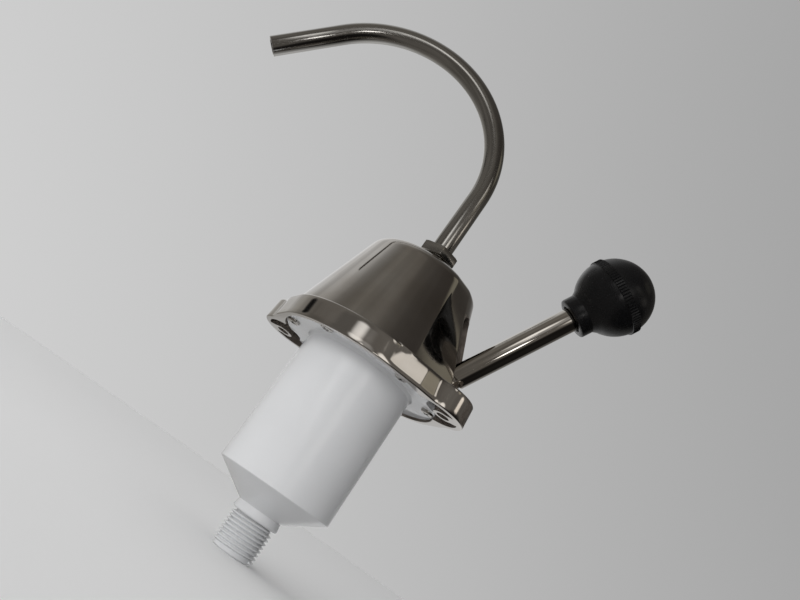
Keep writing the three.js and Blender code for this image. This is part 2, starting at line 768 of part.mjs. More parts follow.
// Lever: a yoke on the pivot, the rod and the knob, each built along the lever from its pivot

const armOuter = armInset + armWidth;
const straightAngle = 180;

function onLever(shape) {
  return raised(shape, leverDegrees).translate(pivotReach, 0, pivotHeight);
}

function onArm(shape) {
  return raised(shape, straightAngle - armDegrees).translate(pivotReach, 0, pivotHeight);
}

function makeYoke() {
  const bridgeEnd = yokeBridgeReach + yokeBridgeLength;
  const hub = acrossY(rod(hubRadius, -hubHalfWidth, hubHalfWidth), pivotReach, pivotHeight);
  const boss = onLever(rod(leverRodRadius, 0, hubBossLength));
  const neck = onArm(block(-armHalfHeight, armHalfHeight, -hubHalfWidth, hubHalfWidth, 0, bridgeEnd));
  const bridge = onArm(block(-armHalfHeight, armHalfHeight, -armOuter, armOuter, yokeBridgeReach, bridgeEnd));
  const sides = [[-armOuter, -armInset], [armInset, armOuter]];
  const arms = sides.map(([low, high]) =>
    solid(onArm(block(-armHalfHeight, armHalfHeight, low, high, yokeBridgeReach, armLength))));
  const ends = sides.map(([low, high]) => solid(acrossY(rod(armEndRadius, low, high), yokePinX, yokePinZ)));
  const body = joined(solid(hub), solid(boss), solid(neck), solid(bridge), ...arms, ...ends);
  const pinBore = acrossY(rod(pivotPinRadius + gap, -lugHalfWidth, lugHalfWidth), pivotReach, pivotHeight);
  const pinHoles = acrossY(rod(yokePinRadius + gap, -armOuter - overrun, armOuter + overrun), yokePinX, yokePinZ);
  const spigotBore = onLever(rod(spigotRadius + gap, spigotFoot - gap, hubBossLength + overrun));
  return without(body, solid(pinBore), solid(pinHoles), solid(spigotBore));
}

const knobSocket = knobReach - knobCollarReach + knobSocketDepth;
const insertEnd = knobSocket + insertLength;

function makeLeverRod() {
  return solid(onLever(turned([
    [0, spigotFoot], [spigotRadius, spigotFoot], [spigotRadius, hubBossLength], [leverRodRadius, hubBossLength],
    [leverRodRadius, knobSocket], [spigotRadius, knobSocket], [spigotRadius, insertEnd], [0, insertEnd],
  ])));
}

function makeKnobInsert() {
  return solid(onLever(ring(spigotRadius + gap, spigotRadius + gap + insertWall, knobSocket, insertEnd, smallSides)));
}

function makeKnob() {
  const face = knobReach - knobCollarReach;
  const bandFoot = knobReach + knobBandOffset - knobBandWidth / 2;
  const bandTop = bandFoot + knobBandWidth;
  const shell = [];
  const rows = 13;
  const start = Math.PI - Math.asin(knobCollarRadius / knobRadius);
  for (let row = 0; row < rows; row += 1) {
    const angle = start * (1 - row / rows);
    const height = knobReach + knobRadius * Math.cos(angle);
    if (height < bandFoot || height > bandTop) shell.push([knobRadius * Math.sin(angle), height]);
  }
  const below = shell.filter(([, height]) => height < bandFoot);
  const above = shell.filter(([, height]) => height > bandTop);
  const bandEdge = (height) => Math.sqrt(knobRadius ** 2 - (height - knobReach) ** 2);
  const insertHole = spigotRadius + insertWall + gap * 2;
  return solid(onLever(turned([
    [0, insertEnd + gap], [insertHole, insertEnd + gap], [insertHole, knobSocket],
    [leverRodRadius + gap, knobSocket], [leverRodRadius + gap, face], [knobCollarRadius - knobCollarEdge, face],
    [knobCollarRadius, face + knobCollarEdge], ...below, [bandEdge(bandFoot), bandFoot],
    [knobBandRadius, bandFoot], [knobBandRadius, bandTop], [bandEdge(bandTop), bandTop], ...above,
    [0, knobReach + knobRadius],
  ], largeSides)));
}

function makeYokePin(side) {
  const pin = acrossY(turned([
    [0, yokePinInset], [yokePinRadius, yokePinInset], [yokePinRadius, armOuter], [yokePinHeadRadius, armOuter],
    [yokePinHeadRadius, armOuter + yokePinHeadHeight], [0, armOuter + yokePinHeadHeight],
  ], smallSides), 0, 0);
  if (side < 0) pin.rotateZ(Math.PI);
  return solid(pin.translate(yokePinX, 0, yokePinZ));
}

// Crosshead on the piston rod, with a slot for each yoke pin
function makeCrosshead() {
  const foot = yokePinZ - crossheadHeight / 2;
  const top = yokePinZ + crossheadHeight / 2;
  const slot = yokePinRadius + slotClearance;
  const edge = crossheadHalfWidth + overrun;
  const body = block(-crossheadBack, crossheadFront, -crossheadHalfWidth, crossheadHalfWidth, foot, top);
  const bore = rod(rodSleeveRadius, foot - overrun, top + overrun);
  const slots = [[slotInset, edge], [-edge, -slotInset]].map(([low, high]) =>
    solid(block(-slotBack, slotFront, low, high, yokePinZ - slot, yokePinZ + slot)));
  const screwHole = raised(rod(setScrewRadius + gap, 0, crossheadBack + overrun), straightAngle);
  return without(solid(body), solid(bore), ...slots, solid(screwHole.translate(0, 0, yokePinZ)));
}

function makeCrossheadSetScrew() {
  const shape = raised(rod(setScrewRadius, rodRadius, crossheadBack), straightAngle);
  return solid(shape.translate(0, 0, yokePinZ));
}

// Piston: rod, valve stop, plate, cup, clamp plate and nut, one on the other
const stopFoot = valveDiscThickness + valveLift - pistonTop;
const stopTop = stopFoot + valveStopThickness;
const plateUnderside = -pistonTop - pistonThickness;
const cupUnderside = plateUnderside - cupThickness;
const clampUnderside = cupUnderside - clampPlateThickness;
const nutUnderside = clampUnderside - pistonNutHeight;

function makePistonRod() {
  const collarTop = stopTop + rodCollarHeight;
  const tube = turned([
    [0, nutUnderside - rodEndLength], [rodRadius, nutUnderside - rodEndLength], [rodRadius, stopTop],
    [rodCollarRadius, stopTop], [rodCollarRadius, collarTop], [rodRadius, collarTop], [rodRadius, rodTop],
    [rodBoreRadius, rodTop], [rodBoreRadius, collarTop], [0, collarTop],
  ]);
  const port = raised(rod(rodPortRadius, -rodCollarRadius, rodCollarRadius), 0);
  return without(solid(tube), solid(port.translate(0, 0, rodPortRise - pistonTop)));
}

function withFlowHoles(shape, foot, top) {
  const step = straightAngle * 2 / flowHoleCount;
  const places = around(flowHoleCircle, [...Array(flowHoleCount).keys()].map((count) => count * step));
  return without(shape, ...places.map(([x, y]) =>
    solid(placed(rod(flowHoleRadius, foot - overrun, top + overrun), x, y))));
}

function makePistonPlate() {
  const plate = ring(rodSleeveRadius, pistonRadius, plateUnderside, -pistonTop);
  return withFlowHoles(solid(plate), plateUnderside, -pistonTop);
}

function makePistonCup() {
  const inner = pistonRadius + gap;
  const lipTop = plateUnderside + cupLip;
  const cup = turned([
    [rodSleeveRadius, cupUnderside], [inner, cupUnderside], [cupRadius, plateUnderside], [cupRadius, lipTop],
    [inner, lipTop], [inner, plateUnderside], [rodSleeveRadius, plateUnderside],
  ]);
  return withFlowHoles(solid(cup), cupUnderside, plateUnderside);
}

function makeClampPlate() {
  const plate = ring(rodSleeveRadius, clampPlateRadius, clampUnderside, cupUnderside);
  return withFlowHoles(solid(plate), clampUnderside, cupUnderside);
}

function makePistonNut() {
  const bore = rod(rodSleeveRadius, nutUnderside - overrun, clampUnderside + overrun);
  return without(solid(hexagon(pistonNutAcrossFlats, nutUnderside, clampUnderside)), solid(bore));
}

function makeDeliveryDisc() {
  return solid(ring(rodCollarRadius + gap, valveDiscRadius, -pistonTop, valveDiscThickness - pistonTop));
}

function makeValveStop() {
  return solid(turned([
    [rodSleeveRadius, -pistonTop], [rodCollarRadius, -pistonTop], [rodCollarRadius, stopFoot],
    [valveStopRadius, stopFoot], [valveStopRadius, stopTop], [rodSleeveRadius, stopTop],
  ]));
}

// The assembly, each piece under its own name
const pump = new THREE.Group();
pump.name = 'galley_hand_pump';
const plateScrews = plateScrewPlaces().map((place, count) =>
  named(`plate_screw_${count + 1}`, makePlateScrew(place), steel));
const guideScrews = around(guideScrewCircle, guideScrewDegrees).map((place, count) =>
  named(`guide_screw_${count + 1}`, makeGuideScrew(place), steel));
pump.add(
  named('housing', makeHousing(), chrome),
  named('outlet_fitting', makeOutletFitting(), brass),
  named('outlet_locknut', makeLocknut(), brass),
  named('gland_nut', makeGlandNut(), steel),
  named('spout_ferrule', makeFerrule(), brass),
  named('spout_seal', makeSeal(spoutRadius, spoutSealFoot), rubber),
  named('riser_seal', makeSeal(rodRadius, riserSealFoot), rubber),
  named('spout_tube', makeSpout(), steel),
  named('cylinder_flange', makeFlangePlate(), whitePlastic),
  named('cylinder', makeCylinder(), whitePlastic),
  named('cylinder_end_cap', makeEndCap(), whitePlastic),
  named('inlet_tail', makeInletTail(), whitePlastic),
  ...plateScrews,
  named('rod_guide', makeGuide(), whitePlastic),
  named('guide_seal', makeGuideSeal(), rubber),
  named('rod_seal', makeSeal(rodRadius, -rodSealSeatDepth), rubber),
  named('rod_seal_retainer', makeRetainer(), brass),
  ...guideScrews,
  named('foot_valve_disc', makeFootDisc(), rubber),
  named('foot_valve_cage', makeFootCage(), brass),
  named('pivot_pin', makePivotPin(), steel),
  named('pivot_set_screw', makePivotSetScrew(), steel),
  named('lever_yoke', makeYoke(), chrome),
  named('lever_rod', makeLeverRod(), chrome),
  named('knob', makeKnob(), blackPlastic),
  named('knob_insert', makeKnobInsert(), brass),
  named('yoke_pin_left', makeYokePin(1), steel),
  named('yoke_pin_right', makeYokePin(-1), steel),
  named('piston_rod', makePistonRod(), brass),
  named('crosshead', makeCrosshead(), brass),
  named('crosshead_set_screw', makeCrossheadSetScrew(), steel),
  named('delivery_valve_stop', makeValveStop(), brass),
  named('delivery_valve_disc', makeDeliveryDisc(), rubber),
  named('piston_plate', makePistonPlate(), brass),
  named('piston_cup', makePistonCup(), rubber),
  named('piston_clamp_plate', makeClampPlate(), brass),
  named('piston_nut', makePistonNut(), brass),
);

export default pump;
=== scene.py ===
# %% [markdown]
# A galley hand pump, drawn in Blender over its CAD model. The CAD model gives every piece's size and place,
# and this lesson gives the pieces that show a finer shape and a real finish: a polished dome, a satin
# swan-neck spout, a plated lever with a ball knob, and a white plastic cylinder with a threaded tail. Sizes
# are in millimetres, turned to Blender's metres with one factor.

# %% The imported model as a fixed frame
import json
import math

import bmesh
import bpy
from mathutils import Matrix, Vector


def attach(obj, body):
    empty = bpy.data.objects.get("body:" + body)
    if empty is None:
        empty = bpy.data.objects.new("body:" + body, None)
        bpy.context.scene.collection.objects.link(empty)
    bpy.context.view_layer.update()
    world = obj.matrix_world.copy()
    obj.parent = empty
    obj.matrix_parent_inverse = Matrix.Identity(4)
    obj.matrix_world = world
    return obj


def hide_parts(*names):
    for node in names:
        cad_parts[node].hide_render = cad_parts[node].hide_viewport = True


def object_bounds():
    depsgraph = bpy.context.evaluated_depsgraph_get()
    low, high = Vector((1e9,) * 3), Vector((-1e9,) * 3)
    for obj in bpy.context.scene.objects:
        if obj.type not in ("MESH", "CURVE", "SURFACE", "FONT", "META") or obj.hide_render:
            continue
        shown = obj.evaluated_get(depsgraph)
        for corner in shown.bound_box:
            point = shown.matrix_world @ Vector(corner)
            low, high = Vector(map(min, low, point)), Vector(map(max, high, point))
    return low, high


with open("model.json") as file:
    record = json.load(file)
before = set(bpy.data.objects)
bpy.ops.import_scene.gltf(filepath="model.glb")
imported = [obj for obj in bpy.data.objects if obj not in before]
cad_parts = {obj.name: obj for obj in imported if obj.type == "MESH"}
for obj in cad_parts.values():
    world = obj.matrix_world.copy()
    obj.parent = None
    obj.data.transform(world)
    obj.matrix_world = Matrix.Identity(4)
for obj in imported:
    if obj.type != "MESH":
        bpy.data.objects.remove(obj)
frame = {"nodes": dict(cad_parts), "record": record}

cad_box = [list(corner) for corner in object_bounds()]
mm = 0.001
print("CAD box", [[round(value / mm, 1) for value in corner] for corner in cad_box])

# %% [markdown]
# The camera comes first. A camera is a matrix whose columns are its right, its up and the way behind it,
# and its place. These were fitted to the photograph's edges, with the inlet's half inch pipe thread for
# scale.

# %% The camera at the photograph's angle
camera_place = Vector((158.371, -290.379, -71.472)) * mm
camera_right = Vector((0.805573, 0.236160, 0.543398))
camera_down = Vector((0.372979, 0.510484, -0.774786))
camera_ahead = Vector((-0.460369, 0.826822, 0.323149))
focal_pixels = 705.074
frame_pixels = 800
sensor_width = 36

camera_data = bpy.data.cameras.new("camera")
camera_data.sensor_width = sensor_width
camera_data.lens = focal_pixels / frame_pixels * sensor_width
camera_data.clip_start = 10 * mm
camera = bpy.data.objects.new("camera", camera_data)
bpy.context.collection.objects.link(camera)
camera.matrix_world = Matrix((
    (camera_right.x, -camera_down.x, -camera_ahead.x, camera_place.x),
    (camera_right.y, -camera_down.y, -camera_ahead.y, camera_place.y),
    (camera_right.z, -camera_down.z, -camera_ahead.z, camera_place.z),
    (0, 0, 0, 1),
))
bpy.context.scene.camera = camera
print("lens", round(camera_data.lens, 2), "mm")

# %% [markdown]
# The pieces are made with the same few moves. One piece at a time is made active with nothing else
# selected, because an operator acts on all that is selected. Its place and turn are put into its mesh, so
# that a finished piece sits at the origin.

# %% Choosing one piece, and closing it
def only(piece):
    """Selects one piece and makes it active, in object mode."""
    if bpy.context.object and bpy.context.object.mode != "OBJECT":
        bpy.ops.object.mode_set(mode="OBJECT")
    bpy.ops.object.select_all(action="DESELECT")
    piece.select_set(True)
    bpy.context.view_layer.objects.active = piece


def settle(piece):
    """Puts a piece's place and turn into its mesh."""
    only(piece)
    bpy.ops.object.transform_apply(location=True, rotation=True, scale=True)


def edit_all(piece):
    """Opens a piece in edit mode with all of it selected."""
    only(piece)
    bpy.ops.object.mode_set(mode="EDIT")
    bpy.ops.mesh.select_all(action="SELECT")


def close(piece):
    """Merges doubled points and turns every face outwards."""
    edit_all(piece)
    bpy.ops.mesh.remove_doubles(threshold=0.002 * mm)
    bpy.ops.mesh.normals_make_consistent(inside=False)
    bpy.ops.object.mode_set(mode="OBJECT")


def smooth(piece, degrees=30):
    """Shades a piece smoothly, apart from edges sharper than this."""
    only(piece)
    bpy.ops.object.shade_smooth_by_angle(angle=math.radians(degrees))


# %% [markdown]
# A hole, a boss or a slot is easiest as a solid of its own that is then taken away or added. Blender's
# Boolean modifier does this between closed solids, and it is applied at once, so the piece stays one plain
# mesh.

# %% Cutting and welding solids
def apply(piece, kind, **settings):
    """Adds a modifier with these settings and applies it."""
    only(piece)
    modifier = piece.modifiers.new(kind.lower(), kind)
    for name, value in settings.items():
        setattr(modifier, name, value)
    bpy.ops.object.modifier_apply(modifier=modifier.name)


def combine(piece, tool, operation):
    """Changes a piece by another solid and throws that solid away."""
    apply(piece, "BOOLEAN", operation=operation, solver="MANIFOLD", object=tool)
    bpy.data.objects.remove(tool)


def cut(piece, tool):
    """Takes the tool's volume out of a piece."""
    combine(piece, tool, "DIFFERENCE")


def weld(piece, tool):
    """Makes one solid of a piece and the tool."""
    combine(piece, tool, "UNION")


def keep_inside(piece, tool):
    """Keeps what a piece and the tool share."""
    combine(piece, tool, "INTERSECT")


# %% [markdown]
# A turned piece is drawn as half of its outline and spun about the axis, as it would be on a lathe. Real
# turned and moulded corners are never quite sharp, so each corner of an outline carries the radius of its
# round.

# %% Half outlines with rounded corners
def rounded(corners, steps=4):
    """Points of an outline whose corners are (radius, height, round of the corner) in millimetres."""
    points = []
    last = len(corners) - 1
    for number, (across, along, edge) in enumerate(corners):
        here = Vector((across, along))
        if edge == 0 or number in (0, last):
            points.append(here)
            continue
        back = (Vector(corners[number - 1][:2]) - here).normalized()
        on = (Vector(corners[number + 1][:2]) - here).normalized()
        half = back.angle(on) / 2
        centre = here + (back + on).normalized() * edge / math.sin(half)
        start = here + back * edge / math.tan(half) - centre
        end = here + on * edge / math.tan(half) - centre
        for step in range(steps + 1):
            share = step / steps
            points.append(centre + start.slerp(end, share))
    return [(point.x, point.y) for point in points]


def new_piece(name, points, edges, faces):
    """A piece from its points in millimetres."""
    mesh = bpy.data.meshes.new(name)
    mesh.from_pydata([[value * mm for value in point] for point in points], edges, faces)
    piece = bpy.data.objects.new(name, mesh)
    bpy.context.collection.objects.link(piece)
    return piece


def lathe(name, outline, sides=96):
    """Spins half of an outline about the axis. It starts and ends on the axis, or closes on itself."""
    points = [(across, 0, along) for across, along in outline]
    piece = new_piece(name, points, [(number, number + 1) for number in range(len(points) - 1)], [])
    edit_all(piece)
    bpy.ops.mesh.spin(steps=sides, angle=math.tau, center=(0, 0, 0), axis=(0, 0, 1))
    bpy.ops.object.mode_set(mode="OBJECT")
    close(piece)
    return piece


# %% [markdown]
# Plain bars and blocks serve as cutters and as starts. Each is added at its size and place in millimetres.

# %% Bars and blocks
def round_bar(name, radius, length, middle, turn, sides):
    """A plain round bar about its middle."""
    bpy.ops.object.select_all(action="DESELECT")
    bpy.ops.mesh.primitive_cylinder_add(
        vertices=sides, radius=radius * mm, depth=length * mm,
        location=[value * mm for value in middle], rotation=turn)
    piece = bpy.context.object
    piece.name = name
    settle(piece)
    return piece


def bar(name, radius, low, high, x=0, y=0, sides=48):
    """An upright bar between two heights, used as a cutter or as the start of a piece."""
    return round_bar(name, radius, high - low, (x, y, (low + high) / 2), (0, 0, 0), sides)


def bar_across(name, radius, half, x, z, sides=48):
    """A bar along Y, as long on both sides."""
    return round_bar(name, radius, 2 * half, (x, 0, z), (math.pi / 2, 0, 0), sides)


def block(name, low, high):
    """A block between two corners."""
    bpy.ops.object.select_all(action="DESELECT")
    low, high = Vector(low) * mm, Vector(high) * mm
    bpy.ops.mesh.primitive_cube_add(size=1, location=(low + high) / 2, scale=high - low)
    piece = bpy.context.object
    piece.name = name
    settle(piece)
    return piece


# %% [markdown]
# Each finished piece takes the place of a CAD node. It rides on the body that node moves with, and hides the
# plain solid.

# %% Copying a piece, and handing it over
def copy_of(piece, name):
    """A copy with its own mesh."""
    double = piece.copy()
    double.data = piece.data.copy()
    double.name = name
    bpy.context.collection.objects.link(double)
    return double


def hand_over(piece, name, body, slot, finish, *nodes):
    """Names a finished piece, gives it its finish, and puts it in the place of its CAD nodes."""
    piece.name = name
    piece.data.name = name
    piece.data.materials.clear()
    piece.data.materials.append(finish)
    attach(piece, body)
    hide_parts(*nodes)
    print(name, len(piece.data.polygons), "faces")


# %% [markdown]
# Finishes come from the Principled shader. No real finish is quite even, so each one varies its colour or
# its roughness a little and bends its surface with a small bump. All of these follow noise on Object
# coordinates, which stays with the piece when it moves. The same helpers serve every finish.

# %% Helpers that start a finish and feed its shader
def shader_of(finish):
    return finish.node_tree.nodes["Principled BSDF"]


def start_finish(name, colour, metallic, roughness):
    """A material with plain values, ready for its noise."""
    finish = bpy.data.materials.new(name)
    finish.use_nodes = True
    finish.diffuse_color = (*colour, 1)
    shader = shader_of(finish)
    shader.inputs["Base Color"].default_value = (*colour, 1)
    shader.inputs["Metallic"].default_value = metallic
    shader.inputs["Roughness"].default_value = roughness
    return finish


def noise_on(finish, scale, detail=3, stretch=(1, 1, 1)):
    """Noise in Object coordinates, with a stretch along each axis."""
    nodes, links = finish.node_tree.nodes, finish.node_tree.links
    coordinates = nodes.new("ShaderNodeTexCoord")
    mapping = nodes.new("ShaderNodeMapping")
    mapping.inputs["Scale"].default_value = stretch
    noise = nodes.new("ShaderNodeTexNoise")
    noise.inputs["Scale"].default_value = scale
    noise.inputs["Detail"].default_value = detail
    links.new(coordinates.outputs["Object"], mapping.inputs["Vector"])
    links.new(mapping.outputs["Vector"], noise.inputs["Vector"])
    return noise.outputs["Fac"]


# %% Helpers that vary roughness, colour and surface
def vary_roughness(finish, noise, low, high):
    """Lets the roughness go from low to high with the noise."""
    spread = finish.node_tree.nodes.new("ShaderNodeMapRange")
    spread.inputs["From Min"].default_value = 0.3
    spread.inputs["From Max"].default_value = 0.7
    spread.inputs["To Min"].default_value = low
    spread.inputs["To Max"].default_value = high
    finish.node_tree.links.new(noise, spread.inputs["Value"])
    finish.node_tree.links.new(spread.outputs["Result"], shader_of(finish).inputs["Roughness"])


def vary_colour(finish, noise, first, second):
    """Lets the colour wander between two tones with the noise."""
    ramp = finish.node_tree.nodes.new("ShaderNodeValToRGB")
    ends = ramp.color_ramp.elements
    ends[0].position, ends[0].color = 0.35, (*first, 1)
    ends[1].position, ends[1].color = 0.65, (*second, 1)
    finish.node_tree.links.new(noise, ramp.inputs["Fac"])
    finish.node_tree.links.new(ramp.outputs["Color"], shader_of(finish).inputs["Base Color"])


def bump_from(finish, noise, strength, height):
    """Bends the surface as if the noise raised it by this height in millimetres."""
    bump = finish.node_tree.nodes.new("ShaderNodeBump")
    bump.inputs["Strength"].default_value = strength
    bump.inputs["Distance"].default_value = height * mm
    finish.node_tree.links.new(noise, bump.inputs["Height"])
    finish.node_tree.links.new(bump.outputs["Normal"], shader_of(finish).inputs["Normal"])


# %% [markdown]
# The housing is a metal casting, polished and chromed. Chrome on a casting is a mirror that is a little
# uneven: broad soft waves bend what it reflects, and its sharpness varies. Its warm grey is that of the
# photograph.

# %% Polished chrome on the cast housing
chrome = start_finish("polished_chrome", (0.56, 0.535, 0.505), metallic=1, roughness=0.06)
vary_colour(chrome, noise_on(chrome, scale=45), (0.52, 0.49, 0.455), (0.6, 0.58, 0.555))
vary_roughness(chrome, noise_on(chrome, scale=160, detail=4), low=0.04, high=0.085)
bump_from(chrome, noise_on(chrome, scale=55, detail=1), strength=0.12, height=0.35)

# %% [markdown]
# The buffing wheel doesn't reach inside the housing. There the casting stays dull and dark, with a fine
# grain; its dark tone is partly the casting's own and partly painted shade, for the hollow, the pockets and
# the slot.

# %% The bare casting inside the housing, darker with painted shade
# A dull casting, with its dark tone partly painted shade in the hollows
dull_casting_and_shade = start_finish("bare_casting_and_painted_shade", (0.2, 0.17, 0.145), metallic=0.4, roughness=0.5)
vary_colour(dull_casting_and_shade, noise_on(dull_casting_and_shade, scale=180), (0.15, 0.125, 0.105), (0.25, 0.215, 0.185))
vary_roughness(dull_casting_and_shade, noise_on(dull_casting_and_shade, scale=500, detail=4), low=0.4, high=0.6)
bump_from(dull_casting_and_shade, noise_on(dull_casting_and_shade, scale=900), strength=0.2, height=0.06)

# %% [markdown]
# The lever's rod is drawn steel with a bright plating, which mirrors in long clean streaks. The spout and
# the gland nut are satin steel: a duller grey with more roughness, so their streaks have soft edges.

# %% Bright plating on the lever's rod
plating = start_finish("bright_plating", (0.6, 0.57, 0.52), metallic=1, roughness=0.1)
vary_colour(plating, noise_on(plating, scale=70), (0.55, 0.52, 0.47), (0.62, 0.59, 0.55))
vary_roughness(plating, noise_on(plating, scale=220, detail=4), low=0.05, high=0.1)
bump_from(plating, noise_on(plating, scale=120, detail=1), strength=0.05, height=0.1)

# %% Satin steel on the spout and the gland nut
satin = start_finish("satin_steel", (0.44, 0.43, 0.41), metallic=1, roughness=0.22)
vary_colour(satin, noise_on(satin, scale=60), (0.42, 0.41, 0.39), (0.46, 0.45, 0.43))
vary_roughness(satin, noise_on(satin, scale=420, detail=4), low=0.13, high=0.18)
bump_from(satin, noise_on(satin, scale=160, detail=2), strength=0.05, height=0.06)

# %% [markdown]
# Screws and pins come zinc-plated from the box: duller than chrome, with a fine grain.

# %% Zinc-plated screws and pins
zinc = start_finish("zinc_plate", (0.55, 0.53, 0.5), metallic=1, roughness=0.25)
vary_roughness(zinc, noise_on(zinc, scale=500, detail=4), low=0.18, high=0.32)
bump_from(zinc, noise_on(zinc, scale=900, detail=2), strength=0.08, height=0.03)

# %% [markdown]
# The cylinder is moulded in glossy white plastic. A smooth mould gives a clear gloss over slow, shallow
# waves, and its white stays well below full, so that the light on it doesn't clip.

# %% Glossy white plastic on the cylinder
white = start_finish("glossy_white_plastic", (0.755, 0.76, 0.77), metallic=0, roughness=0.1)
shader_of(white).inputs["Specular IOR Level"].default_value = 0.4
vary_colour(white, noise_on(white, scale=25), (0.74, 0.745, 0.755), (0.77, 0.775, 0.785))
vary_roughness(white, noise_on(white, scale=90), low=0.05, high=0.09)
bump_from(white, noise_on(white, scale=40, detail=1), strength=0.04, height=0.1)

# %% [markdown]
# The knob is a satin black plastic. Its grain is fine and even, as from a spark-eroded mould.

# %% Satin black plastic on the knob
black = start_finish("satin_black_plastic", (0.0055, 0.0055, 0.006), metallic=0, roughness=0.26)
shader_of(black).inputs["Specular IOR Level"].default_value = 0.3
vary_roughness(black, noise_on(black, scale=260, detail=4), low=0.2, high=0.32)
bump_from(black, noise_on(black, scale=600), strength=0.08, height=0.03)

# %% [markdown]
# What works inside is brass and rubber. Brass is turned, so its noise is stretched into fine rings along
# the axis. Rubber is rough and nearly black.

# %% Machined brass and black rubber, for what works inside
brass = start_finish("machined_brass", (0.69, 0.5, 0.25), metallic=1, roughness=0.3)
vary_colour(brass, noise_on(brass, scale=60), (0.6, 0.42, 0.2), (0.72, 0.53, 0.28))
vary_roughness(brass, noise_on(brass, scale=700, stretch=(1, 1, 6)), low=0.24, high=0.38)
bump_from(brass, noise_on(brass, scale=500, detail=2, stretch=(0.2, 0.2, 8)), strength=0.08, height=0.02)
rubber = start_finish("black_rubber", (0.022, 0.022, 0.023), metallic=0, roughness=0.75)
vary_roughness(rubber, noise_on(rubber, scale=400), low=0.68, high=0.82)
bump_from(rubber, noise_on(rubber, scale=1200), strength=0.15, height=0.04)
print("finishes", len(bpy.data.materials))

# %% [markdown]
# The housing is one casting: a flange with two screw ears, a skirt, a steep dome, and a prow on the front
# whose two flat faces carry the lever's slot. No primitive has this shape, but every level of it is one
# closed curve. So a circle is extruded upwards one level at a time, and at each level its points are set on
# that level's curve. Points gather where the curve turns sharply, at the prow's edges and its creases.

# %% Sizes of the housing
flange_radius = 44.98
flange_height = 11.3
skirt_draft = 0.45
panel_draft = 1.9
ear_draft = 0.7
top_round = 0.9
bottom_round = 0.6
lobe_radius = 17
lobe_offset = 41.5
shoulder_foot = Vector((48, 15.65))
shoulder_corner = Vector((41.4, 23.2))
dome_top = 61
dome_top_radius = 29
dome_slope = 0.2857
dome_round = 4.8
slot_half = 5.3
prow_reach = 47.4
prow_knee, knee_reach = 45, 33.8
prow_merge = 60
crease_foot = 40
crease_top = 32


def cone_radius(z):
    """The dome's radius at a height."""
    return dome_top_radius + dome_slope * (dome_top - z)


# %% Curves that the levels are put together from
def clamped(share):
    """A share kept between nothing and all."""
    return min(max(share, 0), 1)


def on_circle(angle, radius):
    """A point on a circle, at an angle."""
    return Vector((math.cos(angle), math.sin(angle))) * radius


def arc(first, last, radius, count):
    """Points on a circle after the first angle, up to the last."""
    return [on_circle(first + (last - first) * number / count, radius) for number in range(1, count + 1)]


def straight(start, end, count):
    """Points on a line after its start, up to its end."""
    return [start.lerp(end, number / count) for number in range(1, count + 1)]


def bend(start, corner, end, count):
    """Points on the curve that rounds a corner, after its start."""
    shares = [number / count for number in range(1, count + 1)]
    return [start.lerp(corner, share).lerp(corner.lerp(end, share), share) for share in shares]


# %% The prow at one level
nose_columns = 3
ridge_columns = 5
face_columns = 18
crease_columns = 3
side_columns = 4
round_columns = 22
front_columns = nose_columns + ridge_columns + face_columns + crease_columns + side_columns
ridge_round = 0.9
crease_round = 0.7


def prow_reach_at(z):
    """How far forward the prow's edges stand at a height."""
    if z < prow_knee:
        return knee_reach + (prow_reach - knee_reach) * (prow_knee - z) / (prow_knee - flange_height)
    merge_reach = math.sqrt(cone_radius(prow_merge) ** 2 - slot_half ** 2)
    return knee_reach + (merge_reach - knee_reach) * (z - prow_knee) / (prow_merge - prow_knee)


def prow_curve(radius, reach, crease):
    """The prow's nose, edge and flat face, from the middle to just past its crease with the dome."""
    round_reach = math.sqrt(radius ** 2 - slot_half ** 2)
    reach = max(round_reach, reach)
    middle = reach + radius - round_reach
    curve = []
    for number in range(nose_columns):
        y = (slot_half - ridge_round) * number / (nose_columns - 1)
        curve.append(Vector((middle - (middle - reach) * (y / slot_half) ** 2, y)))
    ridge = Vector((reach, slot_half))
    foot = on_circle(crease, radius)
    face = (foot - ridge).normalized()
    face_start, face_end = ridge + face * ridge_round, foot - face * crease_round
    curve += bend(curve[-1], ridge, face_start, ridge_columns)
    curve += straight(face_start, face_end, face_columns)
    return curve + bend(face_end, foot, on_circle(crease + crease_round / radius, radius), crease_columns)


# %% One level of the dome
shoulder_lean = math.acos(flange_radius / shoulder_corner.length)
shoulder_normal = math.atan2(shoulder_corner.y, shoulder_corner.x) + shoulder_lean


def dome_level(z, inset=0):
    """Half of the dome's curve at a height, from the front round to the back."""
    radius = cone_radius(z) - inset
    rise = clamped((z - flange_height) / (dome_top - flange_height))
    crease = math.radians(crease_foot + (crease_top - crease_foot) * rise)
    curve = prow_curve(radius, prow_reach_at(z) - inset, crease)
    curve += arc(crease + crease_round / radius, shoulder_normal, radius, side_columns)
    curve += arc(shoulder_normal, math.pi / 2, radius, round_columns)
    side = [Vector((-point.x, point.y)) for point in reversed(curve[front_columns:-1])]
    back_start = math.pi - shoulder_normal
    back = [on_circle(back_start, radius)] + arc(back_start, math.pi, radius, front_columns - 1)
    return curve + side + back


print("columns in half a level", len(dome_level(flange_height)))

# %% The flange's outline
lobe_columns = 14
dip_columns = 4
low_panel_columns = 5
corner_columns = 3
high_panel_columns = front_columns - 1 - lobe_columns - dip_columns - low_panel_columns - corner_columns
lobe_blend = 0.14
dip_round = 2
corner_round = 0.9


